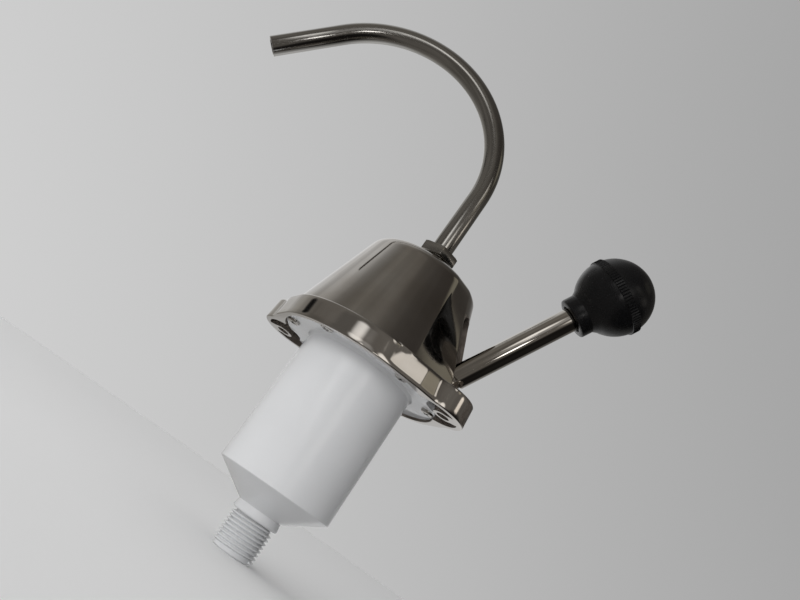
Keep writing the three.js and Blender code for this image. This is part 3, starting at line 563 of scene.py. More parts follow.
def flange_quarter():
    """A quarter of the flange's outline, from the ear's tip to the side."""
    lobe_end = math.atan2(shoulder_foot.y, shoulder_foot.x - lobe_offset)
    lobe = [on_circle(0, lobe_radius)] + arc(0, lobe_end - lobe_blend, lobe_radius, lobe_columns)
    curve = [Vector((lobe_offset, 0)) + point for point in lobe]
    along = (shoulder_corner - shoulder_foot).normalized()
    dip_end = shoulder_foot + along * dip_round
    corner_start = shoulder_corner - along * corner_round
    tangent = on_circle(shoulder_normal, flange_radius)
    corner_end = shoulder_corner + (tangent - shoulder_corner).normalized() * corner_round
    curve += bend(curve[-1], shoulder_foot, dip_end, dip_columns)
    curve += straight(dip_end, corner_start, low_panel_columns)
    curve += bend(corner_start, shoulder_corner, corner_end, corner_columns)
    curve += straight(corner_end, tangent, high_panel_columns)
    return curve + arc(shoulder_normal, math.pi / 2, flange_radius, round_columns)


outline_quarter = flange_quarter()
outline_half = outline_quarter + [Vector((-point.x, point.y)) for point in reversed(outline_quarter[:-1])]


def outward(number):
    """The outline's outward direction at one of its points."""
    before = outline_half[number - 1] if number else outline_half[1] * Vector((1, -1))
    last = len(outline_half) - 1
    after = outline_half[number + 1] if number < last else outline_half[last - 1] * Vector((1, -1))
    along = (after - before).normalized()
    return Vector((along.y, -along.x))


# %% [markdown]
# A casting leans in a little towards its top, so that it leaves its mould. The two panels beside the prow
# lean more than the rest of the skirt, which is why they catch the light as facets of their own.

# %% How the flange leans in
panel_start, panel_end = 16, 56
panel_rise, panel_fall = 4, 9
ear_end = 30
foot_margin = 0.3


def draft_at(point):
    """How far the skirt leans in over its height: more on the front's panels than elsewhere."""
    azimuth = math.degrees(math.atan2(point.y, abs(point.x)))
    panel_share = clamped((azimuth - panel_start) / panel_rise) * clamped((panel_end - azimuth) / panel_fall)
    plain = ear_draft if azimuth < ear_end else skirt_draft
    if point.x < 0:
        return plain
    return plain + (panel_draft - plain) * panel_share


def reach_of(level, angle):
    """How far a level's curve reaches at an angle."""
    for first, second in zip(level, level[1:]):
        low, high = math.atan2(first.y, first.x), math.atan2(second.y, second.x)
        if low <= angle <= high and high > low:
            share = (angle - low) / (high - low)
            return first.length + (second.length - first.length) * share
    return level[-1].length


# %% One level of the flange
def flange_level(z, inset):
    """Half of the flange's curve at a height, never closer in than the dome's foot."""
    foot = dome_level(flange_height)
    lean = z / flange_height
    curve = []
    for number, point in enumerate(outline_half):
        moved = point - outward(number) * (inset + draft_at(point) * lean)
        least = reach_of(foot, math.atan2(point.y, point.x)) + foot_margin
        if moved.length < least:
            moved = moved.normalized() * least
        curve.append(moved)
    return curve


print("columns in half the flange", len(outline_half))

# %% [markdown]
# Now the levels are listed from the foot up: the flange's rounded lower edge, its side, its rounded upper
# edge, a small fillet where the dome stands on it, the dome's side, its rounded shoulder, and three rings
# that close in on the middle of its flat top.

# %% The housing's levels
def quarter_turns(steps, first=0):
    """Angles up to a quarter turn, in equal steps."""
    return [step / steps * math.pi / 2 for step in range(first, steps + 1)]


levels = []
for turn in quarter_turns(4):
    z = bottom_round * (1 - math.cos(turn))
    levels.append((z, flange_level(0, bottom_round * (1 - math.sin(turn)))))
side_steps = 5
for step in range(1, side_steps):
    z = bottom_round + (flange_height - top_round - bottom_round) * step / side_steps
    levels.append((z, flange_level(z, 0)))
for turn in quarter_turns(5):
    z = flange_height - top_round * (1 - math.sin(turn))
    levels.append((z, flange_level(z, top_round * (1 - math.cos(turn)))))
fillet = 0.25
levels.append((flange_height, [point * (1 + fillet / point.length) for point in dome_level(flange_height)]))
levels.append((flange_height + fillet, dome_level(flange_height + fillet)))
dome_foot = flange_height + 2 * fillet
dome_steps = 36
for step in range(1, dome_steps + 1):
    z = dome_foot + (dome_top - dome_round - dome_foot) * step / dome_steps
    levels.append((z, dome_level(z)))
for turn in quarter_turns(8, first=1):
    z = dome_top - dome_round * (1 - math.sin(turn))
    levels.append((z, dome_level(z, dome_round * (1 - math.cos(turn)))))
for share in (0.97, 0.75, 0.45):
    levels.append((dome_top, [point * share for point in dome_level(dome_top, dome_round)]))
print("levels", len(levels))

# %% The housing's skin, extruded level by level
def whole(level):
    """A half curve and its mirror image, as one closed curve."""
    return level + [Vector((point.x, -point.y)) for point in reversed(level[1:-1])]


columns = len(whole(levels[0][1]))
bpy.ops.object.select_all(action="DESELECT")
bpy.ops.mesh.primitive_circle_add(vertices=columns, radius=flange_radius * mm, fill_type="NGON")
housing = bpy.context.object
bpy.ops.object.mode_set(mode="EDIT")
shape = bmesh.from_edit_mesh(housing.data)
column_of = shape.verts.layers.int.new("column")
corners = sorted(shape.verts, key=lambda corner: math.atan2(corner.co.y, corner.co.x) % math.tau)
for number, corner in enumerate(corners):
    corner[column_of] = number
for number, (z, level) in enumerate(levels):
    if number:
        bpy.ops.mesh.extrude_region_move()
        shape = bmesh.from_edit_mesh(housing.data)
        column_of = shape.verts.layers.int["column"]
    curve = whole(level)
    for corner in shape.verts:
        if corner.select:
            point = curve[corner[column_of]]
            corner.co = (point.x * mm, point.y * mm, z * mm)
    bmesh.update_edit_mesh(housing.data)
bpy.ops.object.mode_set(mode="OBJECT")
close(housing)
print("housing skin", len(housing.data.polygons), "faces")

# %% [markdown]
# Cast housings are hollow, with a wall about 3 mm thick, and the photograph looks up into this one: the
# screw bosses, the ear pockets with a ring round each hole, and the lever's slot all show. The hollow is a
# turned shape cut out with a Boolean, and the bosses and lugs are bars that are first kept inside the skin.

# %% Sizes of the inside
skirt_wall = 2.8
shell_wall = 3
cavity_top = dome_top - shell_wall - 0.3
plate_recess = 1.9
plate_top = 3.5
ear_hole = 48.6
ear_hole_radius = 3.2
ear_boss_radius = 5
ear_bridge_half = 4.2
ear_rim = lobe_offset + lobe_radius - skirt_wall / 2
boss_radius = 4.2
boss_top = 14
screw_circle = 38.4
screw_degrees = [18, 82, 150, -144, -96, -35]
pivot_x, pivot_z = 38.2, 9.5
lug_radius, lug_half = 5.8, 12.5
fitting_boss_radius, fitting_boss_depth = 12, 5.5
fitting_radius = 7.8
# A cutter runs past what it cuts, so that no thin skin is left
past = 1
well_past = 2


def across_axis(radius, angle):
    """How far along X and Y a place lies from the axis."""
    return radius * math.cos(angle), radius * math.sin(angle)


def screw_places():
    """Where the plate's screws stand on their circle."""
    return [across_axis(screw_circle, math.radians(degrees)) for degrees in screw_degrees]


# %% The hollow
hollow = lathe("hollow", rounded([
    (0, -well_past, 0), (flange_radius - skirt_wall, -well_past, 0),
    (flange_radius - skirt_wall, flange_height - shell_wall, 1),
    (cone_radius(flange_height) - shell_wall, flange_height, 1),
    (cone_radius(cavity_top) - shell_wall, cavity_top, 1.5), (0, cavity_top, 0)]))
pocket_top = flange_height - shell_wall
for side in (1, -1):
    weld(hollow, bar("pocket", lobe_radius - skirt_wall, -well_past, pocket_top, side * lobe_offset))

# %% The bosses and the lugs
boss_foot = cavity_top - fitting_boss_depth
ear_top = flange_height - past
bosses = bar("bosses", fitting_boss_radius, boss_foot, cavity_top + past)
for side in (1, -1):
    weld(bosses, bar("ear_boss", ear_boss_radius, 0, ear_top, side * ear_hole))
    low, high = sorted((side * ear_hole, side * ear_rim))
    weld(bosses, block("ear_bridge", (low, -ear_bridge_half, 0), (high, ear_bridge_half, ear_top)))
for x, y in screw_places():
    weld(bosses, bar("screw_boss", boss_radius, plate_top, boss_top, x, y))
weld(bosses, bar_across("lug", lug_radius, lug_half, pivot_x, pivot_z))
weld(bosses, block("lug_root", (pivot_x, -lug_half, pivot_z - lug_radius),
                   (flange_radius, lug_half, flange_height + past)))
keep_inside(bosses, copy_of(housing, "skin"))
cut(housing, hollow)
weld(housing, bosses)

# %% [markdown]
# The lever needs room to swing, so a slot with a round end is cut up the prow, and its foot runs out as a
# notch to where the rod lies at its lowest. The pin, the ears, the outlet's fitting and the screws have
# their holes.

# %% The lever's slot
lever_degrees = 57.4
lever_lean = math.radians(lever_degrees)
rod_clearance = 4.9
notch = pivot_x + rod_clearance / math.sin(lever_lean) + (flange_height - pivot_z) / math.tan(lever_lean)
slot_top = 48
slot_back, slot_front = 26.6, 52
slot_end_back = 18
slot_bend = slot_top - slot_half
slot = block("slot_foot", (slot_back, -slot_half, plate_top), (notch, slot_half, flange_height + 0.3))
weld(slot, block("slot_body", (slot_back, -slot_half, flange_height), (slot_front, slot_half, slot_bend)))
slot_end = bar("slot_end", slot_half, slot_end_back, slot_front, sides=64)
slot_end.rotation_euler = (0, math.pi / 2, 0)
slot_end.location.z = slot_bend * mm
settle(slot_end)
weld(slot, slot_end)
cut(housing, slot)

# %% The holes
pin_hole_radius, pin_hole_half = 2.8, 13.5
screw_hole_radius, screw_hole_top = 2.3, 5.9
screw_hole_sides = 24
fit_gap = 0.3
cut(housing, bar_across("pin_hole", pin_hole_radius, pin_hole_half, pivot_x, pivot_z))
for side in (1, -1):
    cut(housing, bar("ear_hole", ear_hole_radius, -well_past, flange_height + well_past, side * ear_hole))
cut(housing, bar("fitting_hole", fitting_radius + fit_gap, boss_foot - past, dome_top + past))
for x, y in screw_places():
    cut(housing, bar("screw_hole", screw_hole_radius, plate_recess, screw_hole_top, x, y, screw_hole_sides))
smooth(housing, 24)
hand_over(housing, "dome_housing", "base", "chrome", chrome, "housing")

# %% [markdown]
# One object can carry two materials. The faces of the hollow, the pockets and the slot are found by their
# place, and get the bare casting, whose dark tone is partly painted shade.

# %% The inside keeps its bare casting, with painted shade
near = 0.1
very_near = 0.02
rim_height = 0.7
slot_depth = 12


def is_inside(place):
    """Whether a place on the housing, in millimetres, lies in the hollow, an ear's pocket or the slot."""
    if place.z < rim_height or place.z > cavity_top + near:
        return False
    wall = flange_radius - skirt_wall if place.z < flange_height else cone_radius(place.z) - shell_wall
    in_hollow = math.hypot(place.x, place.y) < wall + near
    from_lobe = math.hypot(abs(place.x) - lobe_offset, place.y)
    in_pocket = from_lobe < lobe_radius - skirt_wall + near and place.z < pocket_top + near
    in_slot = abs(place.y) < slot_half + very_near and place.x > pivot_x - slot_depth and place.z < slot_top
    return in_hollow or in_pocket or in_slot


housing.data.materials.append(dull_casting_and_shade)
inside = [face for face in housing.data.polygons if is_inside(face.center / mm)]
for face in inside:
    face.material_index = 1
print("faces inside the housing", len(inside))

# %% [markdown]
# The cylinder is moulded in white plastic: a flange plate that sits inside the skirt, a barrel, an end cap
# and a tail with a half inch pipe thread. Turned outlines with small rounds catch the light as moulded
# edges do. The plate is notched round the ears' screws and drilled for its own.

# %% The flange plate
plate_radius = 41.8
plate_round = 0.3
bore_radius = 24
barrel_radius = 28.9
spigot_radius, spigot_floor = 28.5, 1.2
collar_foot, collar_top = 28.95, 29.7
notch_radius = 9.5
moulded_sides = 128
plate = lathe("plate", rounded([
    (bore_radius, 0, 0), (collar_foot, 0, 0), (collar_top, plate_recess, 1),
    (plate_radius, plate_recess, plate_round), (plate_radius, plate_top, plate_round),
    (spigot_radius, plate_top, 0), (spigot_radius, spigot_floor, 0), (bore_radius, spigot_floor, 0),
    (bore_radius, 0, 0)]), moulded_sides)
for side in (1, -1):
    cut(plate, bar("notch", notch_radius, -past, plate_top + past, side * ear_hole, sides=64))
for x, y in screw_places():
    cut(plate, bar("plate_hole", screw_hole_radius, -past, plate_top + past, x, y, screw_hole_sides))
smooth(plate)
hand_over(plate, "moulded_flange_plate", "base", "white_plastic", white, "cylinder_flange")

# %% [markdown]
# The barrel is the piston's bore, a plain tube. One closed outline, spun, makes its outside, its bore and
# both ends at once.

# %% The barrel
barrel_end = -66
barrel = lathe("barrel", rounded([
    (bore_radius, barrel_end, 0), (barrel_radius, barrel_end, 0), (barrel_radius, 0, 0), (bore_radius, 0, 0),
    (bore_radius, barrel_end, 0)]), moulded_sides)
smooth(barrel)
hand_over(barrel, "moulded_barrel", "base", "white_plastic", white, "cylinder")

# %% [markdown]
# The end cap closes the barrel with a shallow cone. Inside it has a stepped seat for the foot valve and its
# cage, and outside a small round where the barrel meets the cone.

# %% The end cap
tail_bore, tail_radius = 7, 11
cone_foot = -76.7
cap_corner, cap_corner_height = 28.55, -66.25
cage_radius, cage_ceiling, cage_floor = 10.6, -68.5, -70.4
seat_radius, seat_floor = 9.6, -74.4
end_cap = lathe("end_cap", rounded([
    (tail_bore, cone_foot, 0), (tail_radius, cone_foot, 0), (cap_corner, cap_corner_height, 0.9),
    (barrel_radius, barrel_end, 0), (bore_radius, barrel_end, 0), (cage_radius, cage_ceiling, 0),
    (cage_radius, cage_floor, 0), (seat_radius, cage_floor, 0), (seat_radius, seat_floor, 0),
    (tail_bore, seat_floor, 0), (tail_bore, cone_foot, 0)]), moulded_sides)
smooth(end_cap)
hand_over(end_cap, "moulded_end_cap", "base", "white_plastic", white, "cylinder_end_cap")

# %% [markdown]
# The tail takes a half inch hose tail or elbow, so it has a pipe thread. The thread is a real helix. One
# tooth's outline is drawn as a flat face, and a Screw modifier winds it along the tail by its pitch. The
# two ends are closed, and the tooth is welded to the tail.

# %% The tail's body
thread_radius = 10.65
thread_depth = 1.15
thread_pitch = 1.814
neck_foot = -80.3
inlet_end = -97.9
mouth_radius = 8.9
root_radius = thread_radius - thread_depth
tail = lathe("tail", rounded([
    (tail_bore, inlet_end, 0.3), (mouth_radius, inlet_end, 0), (root_radius, inlet_end + 0.6, 0),
    (root_radius, neck_foot, 0.4), (tail_radius, neck_foot, 0.4), (tail_radius, cone_foot, 0),
    (tail_bore, cone_foot, 0), (tail_bore, inlet_end, 0)]), 96)

# %% The thread
thread_turns = 8
steps_a_turn = 64
first_tooth = 1.6
tooth_root = root_radius - 0.25
root_half = thread_pitch / 2 * 0.92
crest_half = thread_pitch / 2 * 0.14
helix = new_piece("helix", [
    (tooth_root, 0, -root_half), (thread_radius, 0, -crest_half),
    (thread_radius, 0, crest_half), (tooth_root, 0, root_half)], [], [(0, 1, 2, 3)])
helix.location.z = (inlet_end + first_tooth) * mm
settle(helix)
apply(helix, "SCREW", angle=math.tau * thread_turns, steps=thread_turns * steps_a_turn,
      render_steps=thread_turns * steps_a_turn, screw_offset=thread_pitch * thread_turns * mm, axis="Z",
      iterations=1, use_normal_calculate=True)
edit_all(helix)
bpy.ops.mesh.fill_holes(sides=4)
bpy.ops.object.mode_set(mode="OBJECT")
close(helix)
weld(tail, helix)
smooth(tail, 25)
hand_over(tail, "threaded_tail", "base", "white_plastic", white, "inlet_tail")

# %% [markdown]
# The spout is a steel tube, bent once. A circle is extruded up to the bend, spun round the bend's centre,
# and extruded again to its tip, and Solidify gives the tube its wall. A small bevel eases the cut end.

# %% The swan-neck spout
spout_radius = 5.6
spout_wall = 1
bend_start = 111.94
bend_radius = 66.6
bend_angle = math.radians(138.3)
tip_length = 40.6
spout_heading = math.radians(202.5)
spout_foot = 57.3
heading = Vector((math.cos(spout_heading), math.sin(spout_heading), 0))
bend_centre = heading * bend_radius * mm + Vector((0, 0, bend_start * mm))
bend_axis = heading.cross(Vector((0, 0, 1)))
tip_way = heading * math.sin(bend_angle) + Vector((0, 0, math.cos(bend_angle)))
bpy.ops.object.select_all(action="DESELECT")
bpy.ops.mesh.primitive_circle_add(vertices=64, radius=spout_radius * mm, location=(0, 0, spout_foot * mm))
spout = bpy.context.object
settle(spout)
edit_all(spout)
bpy.ops.mesh.extrude_region_move(TRANSFORM_OT_translate={"value": (0, 0, (bend_start - spout_foot) * mm)})
bpy.ops.mesh.spin(steps=72, angle=bend_angle, center=bend_centre, axis=bend_axis)
bpy.ops.mesh.extrude_region_move(TRANSFORM_OT_translate={"value": tip_way * tip_length * mm})
bpy.ops.object.mode_set(mode="OBJECT")
close(spout)
apply(spout, "SOLIDIFY", thickness=spout_wall * mm, offset=-1, use_rim=True)
apply(spout, "BEVEL", width=0.12 * mm, segments=2, limit_method="ANGLE", angle_limit=math.radians(60))
smooth(spout, 40)
print("spout's top", round(max(corner[2] for corner in spout.bound_box) / mm, 1))
hand_over(spout, "swan_neck_spout", "spout", "steel", satin, "spout_tube")

# %% [markdown]
# The gland nut is a plain hexagon with its corners turned off at a slant, as every stock nut has. A turned
# shape that is narrower than the corners at its ends leaves those curved chamfers when the two are crossed.

# %% The gland nut
nut_top, nut_height, nut_flats = 74.4, 5.1, 19
nut_turn = 29
nut_roof = 1.4
nut_corner = nut_flats / math.sqrt(3)
nut_foot = nut_top - nut_height
nut_side = nut_corner + 0.15
nut = bar("nut", nut_corner, nut_foot, nut_top, sides=6)
nut.rotation_euler = (0, 0, math.radians(nut_turn))
settle(nut)
keep_inside(nut, lathe("chamfer", [
    (0, nut_foot), (nut_corner - 0.4, nut_foot), (nut_side, nut_foot + 0.3), (nut_side, nut_top - 0.5),
    (nut_corner - 0.75, nut_top), (0, nut_top)]))
cut(nut, bar("nut_bore", fitting_radius + fit_gap, nut_foot - past, nut_top - nut_roof))
cut(nut, bar("nut_hole", spout_radius + fit_gap, nut_foot - past, nut_top + past))
apply(nut, "BEVEL", width=0.2 * mm, segments=2, limit_method="ANGLE", angle_limit=math.radians(35))
smooth(nut, 35)
hand_over(nut, "hexagonal_gland_nut", "base", "steel", satin, "gland_nut")

# %% [markdown]
# The lever's rod is plated steel, screwed into the yoke below and into the knob above. It is turned
# upright, as on a lathe, and then laid along the lever at the pose of the photograph, which is the lever's
# lowest.

# %% The lever's rod
def onto_lever(piece):
    """Lays a piece made upright along the lever, from the pivot."""
    piece.rotation_euler = (0, math.radians(90 - lever_degrees), 0)
    piece.location = (pivot_x * mm, 0, pivot_z * mm)
    settle(piece)


rod_radius, rod_end_radius = 4.75, 3
rod_foot, rod_shoulder = 4.3, 11
rod_round, rod_end_round = 0.2, 0.3
knob_reach = 92.4
knob_radius = 18
knob_face = knob_reach - 22
knob_socket = knob_face + 4
insert_end = knob_socket + 12
lever_rod = lathe("rod", rounded([
    (0, rod_foot, 0), (rod_end_radius, rod_foot, rod_end_round), (rod_end_radius, rod_shoulder, 0),
    (rod_radius, rod_shoulder, rod_round), (rod_radius, knob_socket, rod_round),
    (rod_end_radius, knob_socket, 0), (rod_end_radius, insert_end, rod_end_round), (0, insert_end, 0)]), 64)
onto_lever(lever_rod)
smooth(lever_rod)
hand_over(lever_rod, "plated_lever_rod", "lever", "chrome", plating, "lever_rod")

# %% [markdown]
# The knob is turned: a collar with the rod's socket, a ball, and a low band round it. Its outline runs from
# the socket out over the collar, up the ball and over the band to the top.

# %% The ball knob
band_foot = knob_reach - 1.5
band_top = band_foot + 4
band_edge = 0.15
band_rise = 0.25
collar_radius = 9.5
insert_radius, socket_radius = 5.1, 5.05
mouth = knob_face + 0.8
ball_steps = 48


def ball_at(height):
    """The ball's radius at a height."""
    return math.sqrt(knob_radius ** 2 - (height - knob_reach) ** 2)


ball = []
for step in range(ball_steps + 1):
    angle = math.pi * (1 - step / ball_steps)
    ball.append((knob_radius * math.sin(angle), knob_reach + knob_radius * math.cos(angle)))
neck_height = knob_reach - math.sqrt((knob_radius + 2) ** 2 - (collar_radius + 2) ** 2)
collar = [
    (0, insert_end + 0.3), (insert_radius, insert_end + 0.3), (insert_radius, knob_socket),
    (socket_radius, knob_socket), (socket_radius, mouth), (6.3, mouth), (6.6, knob_face),
    (collar_radius - 0.7, knob_face), (collar_radius - 0.2, knob_face + 0.25), (collar_radius, mouth),
    (collar_radius, neck_height)]
lower = [(across, along) for across, along in ball
         if across > collar_radius + 1.2 and neck_height < along < band_foot - 0.4]
band = [
    (ball_at(band_foot), band_foot), (knob_radius + band_rise, band_foot + band_edge),
    (knob_radius + band_rise, band_top - band_edge), (ball_at(band_top), band_top)]
upper = [(across, along) for across, along in ball[:-1] if along > band_top + 0.3]
knob = lathe("knob", collar + lower + band + upper + [(0, knob_reach + knob_radius)], moulded_sides)

# %% [markdown]
# The band has fine ridges to grip. One ridge is a small wedge with six corners, repeated round the band in
# one mesh and welded to the ball.

# %% The knurled band
ridge_count = 84
ridge_share = 0.36
ridge_rise = 0.6
wedge = ((0, 1, 3, 2), (2, 3, 5, 4), (4, 5, 1, 0), (0, 2, 4), (1, 5, 3))
ridge_points, ridge_faces = [], []
for number in range(ridge_count):
    middle = math.tau * number / ridge_count
    half = math.tau / ridge_count * ridge_share
    for angle, across in ((middle - half, knob_radius), (middle, knob_radius + ridge_rise),
                          (middle + half, knob_radius)):
        for along in (band_foot + band_edge, band_top - band_edge):
            ridge_points.append((*across_axis(across, angle), along))
    first = number * 6
    ridge_faces += [[first + corner for corner in face] for face in wedge]
ridges = new_piece("ridges", ridge_points, [], ridge_faces)
close(ridges)
weld(knob, ridges)
onto_lever(knob)
smooth(knob, 28)
hand_over(knob, "ball_knob", "lever", "black_plastic", black, "knob")

# %% [markdown]
# Six pan-head screws hold the plate from below. One is modelled, with a domed head and a cross recess, and
# the others are copies of it with their own meshes. Nobody lines up screws, so each is turned by another
# angle.

# %% The plate screws
head_radius, head_height, head_round = 3.4, 1.8, 1.1
shank_radius, shank_length = 2, 3.7
recess_half, recess_arm = 2, 0.42
recess_floor = 1 - head_height
screw_turn = 0.9
screw = lathe("screw", rounded([
    (0, -head_height, 0), (head_radius, -head_height, head_round), (head_radius, 0, 0), (shank_radius, 0, 0),
    (shank_radius, shank_length, 0.3), (0, shank_length, 0)], 6), 48)
for wide, deep in ((recess_half, recess_arm), (recess_arm, recess_half)):
    cut(screw, block("cross", (-wide, -deep, -head_height - past), (wide, deep, recess_floor)))
smooth(screw)
for number, (x, y) in enumerate(screw_places(), 1):
    each = copy_of(screw, f"pan_head_screw_{number}")
    each.rotation_euler = (0, 0, screw_turn * number)
    each.location = (x * mm, y * mm, plate_recess * mm)
    settle(each)
    hand_over(each, f"pan_head_screw_{number}", "base", "steel", zinc, f"plate_screw_{number}")
bpy.data.objects.remove(screw)

# %% [markdown]
# What works inside keeps its CAD shape, because it hardly shows, and gets the finish of its slot. The
# outlet's fitting shows below the gland nut and is satin like it.

# %% Finishes for the CAD nodes that stay
finish_of_slot = {
    "chrome": plating, "steel": zinc, "brass": brass, "white_plastic": white, "black_plastic": black,
    "rubber": rubber,
}
slot_of_node = {part["node"]: part["material_slot"] for part in frame["record"]["subparts"]}
for name, node in frame["nodes"].items():
    if node.hide_render:
        continue
    node.data.materials.clear()
    finish = satin if name == "outlet_fitting" else finish_of_slot[slot_of_node[name]]
    node.data.materials.append(finish)
print("CAD nodes that stay", sum(not node.hide_render for node in frame["nodes"].values()))

# %% [markdown]
# The stage is a plain pale floor under a pale world. Both fade from the photograph's left to its right, as
# the sheet in it does, and this fade is painted shade: light falling off towards the right. Both take that
# tone from a direction: the world from its own, and the floor from the line between its place and one fixed
# point near the photograph's viewpoint, so that little horizon shows.

# %% The fade that the floor and the world share
# The fade below darkens the floor and the backdrop towards the right as painted shade
tone_middle, painted_shade_fade = 0.5, 0.24


def fade_across(nodes, links, way, middle=tone_middle, fade=painted_shade_fade):
    """A tone that falls from the photograph's left to its right, for a direction."""
    across = nodes.new("ShaderNodeVectorMath")
    across.operation = "DOT_PRODUCT"
    across.inputs[1].default_value = camera_right
    links.new(way, across.inputs[0])
    tone = nodes.new("ShaderNodeMath")
    tone.operation = "MULTIPLY_ADD"
    tone.inputs[1].default_value = -fade
    tone.inputs[2].default_value = middle
    links.new(across.outputs["Value"], tone.inputs[0])
    return tone.outputs["Value"]


def join_values(nodes, links, operation, first, second):
    """Two values joined by one sum. Each is a number or a node's output."""
    joined = nodes.new("ShaderNodeMath")
    joined.operation = operation
    for socket, value in zip(joined.inputs, (first, second)):
        if isinstance(value, (int, float)):
            socket.default_value = value
        else:
            links.new(value, socket)
    return joined.outputs["Value"]


def seen_share(nodes, links):
    """One for rays from the camera, off a mirror or through glass, and zero for rays that light things."""
    path = nodes.new("ShaderNodeLightPath")
    seen = join_values(nodes, links, "MAXIMUM", path.outputs["Is Camera Ray"], path.outputs["Is Glossy Ray"])
    return join_values(nodes, links, "MAXIMUM", seen, path.outputs["Is Transmission Ray"])


# %% [markdown]
# The floor keeps the pump's shadow, so most of its tone is its own colour under the lamps, a colour with
# painted shade that darkens it towards the right. The small rest is a glow that only shows and lights
# nothing, which keeps the shadow as pale as the photograph's. Mirrors don't see the floor: the photograph's
# sheet is behind the pump and not below it, and the room's sphere holds it there.

# %% The floor
floor_light = 0.69
floor_base = 0.85
fade_height = 0.2
floor_size = 20
bpy.ops.object.select_all(action="DESELECT")
bpy.ops.mesh.primitive_plane_add(size=floor_size, location=(0, 0, cad_box[0][2]))
floor = bpy.context.object
floor.name = "floor"
floor_finish = start_finish("pale_floor", (0.62, 0.62, 0.62), metallic=0, roughness=0.9)
shader = shader_of(floor_finish)
shader.inputs["Specular IOR Level"].default_value = 0
nodes, links = floor_finish.node_tree.nodes, floor_finish.node_tree.links
coordinates = nodes.new("ShaderNodeTexCoord")
from_viewpoint = nodes.new("ShaderNodeVectorMath")
from_viewpoint.operation = "SUBTRACT"
from_viewpoint.inputs[1].default_value = (camera_place.x, camera_place.y, fade_height)
links.new(coordinates.outputs["Object"], from_viewpoint.inputs[0])
floor_way = nodes.new("ShaderNodeVectorMath")
floor_way.operation = "NORMALIZE"
links.new(from_viewpoint.outputs["Vector"], floor_way.inputs[0])
# The floor's colour is painted shade: darker towards the right
fade = fade_across(nodes, links, floor_way.outputs["Vector"])
lit = join_values(nodes, links, "DIVIDE", fade, floor_light / floor_base)
links.new(lit, shader.inputs["Base Color"])
rest = join_values(nodes, links, "MULTIPLY", lit, floor_light * (1 - floor_base) / floor_base)
links.new(rest, shader.inputs["Emission Color"])
links.new(seen_share(nodes, links), shader.inputs["Emission Strength"])
floor.data.materials.append(floor_finish)
floor.visible_glossy = False
print("floor's height", round(cad_box[0][2] / mm, 1))

# %% [markdown]
# The world shows the sheet's pale tone, with painted shade that darkens it towards the right, and lights the
# pump at a plain level. Its light is stronger from the photograph's left, which shades the white barrel
# round from left to right.

# %% The world
world_light, world_fade = 0.42, 0.75
world = bpy.data.worlds.new("studio")
bpy.context.scene.world = world
world.use_nodes = True
nodes, links = world.node_tree.nodes, world.node_tree.links
plain_light = nodes["Background"]
pale_sheet = nodes.new("ShaderNodeBackground")
world_way = nodes.new("ShaderNodeTexCoord").outputs["Generated"]
light_tone = fade_across(nodes, links, world_way, world_light, world_light * world_fade)
links.new(light_tone, plain_light.inputs["Color"])
# The backdrop's tone is painted shade: darker towards the right
links.new(fade_across(nodes, links, world_way), pale_sheet.inputs["Color"])
choose = nodes.new("ShaderNodeMixShader")
links.new(seen_share(nodes, links), choose.inputs["Fac"])
links.new(plain_light.outputs["Background"], choose.inputs[1])
links.new(pale_sheet.outputs["Background"], choose.inputs[2])
links.new(choose.outputs["Shader"], nodes["World Output"].inputs["Surface"])

# %% [markdown]
# Two wide suns add to the world. One shines almost level from the camera's side, because a steeper one
# would put the barrel's top in the flange's shadow. The other stands overhead, is very soft, and lays the
# faint shadow on the floor. Mirrors see neither of them: the room's sphere holds what they see.

# %% The suns
def soft_sun(name, energy, degrees, way):
    """A sun as wide as this many degrees, shining this way."""
    lamp_data = bpy.data.lights.new(name, "SUN")
    lamp_data.energy = energy
    lamp_data.angle = math.radians(degrees)
    lamp = bpy.data.objects.new(name, lamp_data)
    bpy.context.collection.objects.link(lamp)
    lamp.rotation_euler = Vector(way).to_track_quat("-Z", "Y").to_euler()
    lamp.visible_glossy = False


soft_sun("soft_sun", energy=1.6, degrees=40, way=(-0.139, 0.985, -0.105))
soft_sun("overhead", energy=0.9, degrees=100, way=(0.25, 0.2, -0.95))
print("lamps", len(bpy.data.lights))

# %% [markdown]
# Polished metal shows what is round it. In the photograph that is the pale sheet behind the pump and a dim
# room with a window in front of it. A large sphere round the pump stands in for them. Only mirrors see it,
# so it changes no light or shadow. Its tone depends on the direction alone: first the sheet, with a painted
# shadow on its right side, and the room, then soft patches for the window, the lamp and a few dark things.

# %% Tones by direction
def along_way(nodes, links, way, direction):
    """How closely the way out of the room's middle follows a direction."""
    share = nodes.new("ShaderNodeVectorMath")
    share.operation = "DOT_PRODUCT"
    share.inputs[1].default_value = Vector(direction).normalized()
    links.new(way, share.inputs[0])
    return share.outputs["Value"]


def soft_range(nodes, links, value, low, high, first=0, last=1):
    """A number that goes softly from the first to the last as the value goes from low to high."""
    spread = nodes.new("ShaderNodeMapRange")
    spread.interpolation_type = "SMOOTHSTEP"
    spread.inputs["From Min"].default_value = low
    spread.inputs["From Max"].default_value = high
    spread.inputs["To Min"].default_value = first
    spread.inputs["To Max"].default_value = last
    links.new(value, spread.inputs["Value"])
    return spread.outputs["Result"]


def blend_tones(nodes, links, share, first, last):
    """A mix of two colours, each a colour or a node's output."""
    mix = nodes.new("ShaderNodeMix")
    mix.data_type = "RGBA"
    links.new(share, mix.inputs[0])
    for number, tone in ((6, first), (7, last)):
        if isinstance(tone, tuple):
            mix.inputs[number].default_value = (*tone, 1)
        else:
            links.new(tone, mix.inputs[number])
    return mix.outputs[2]


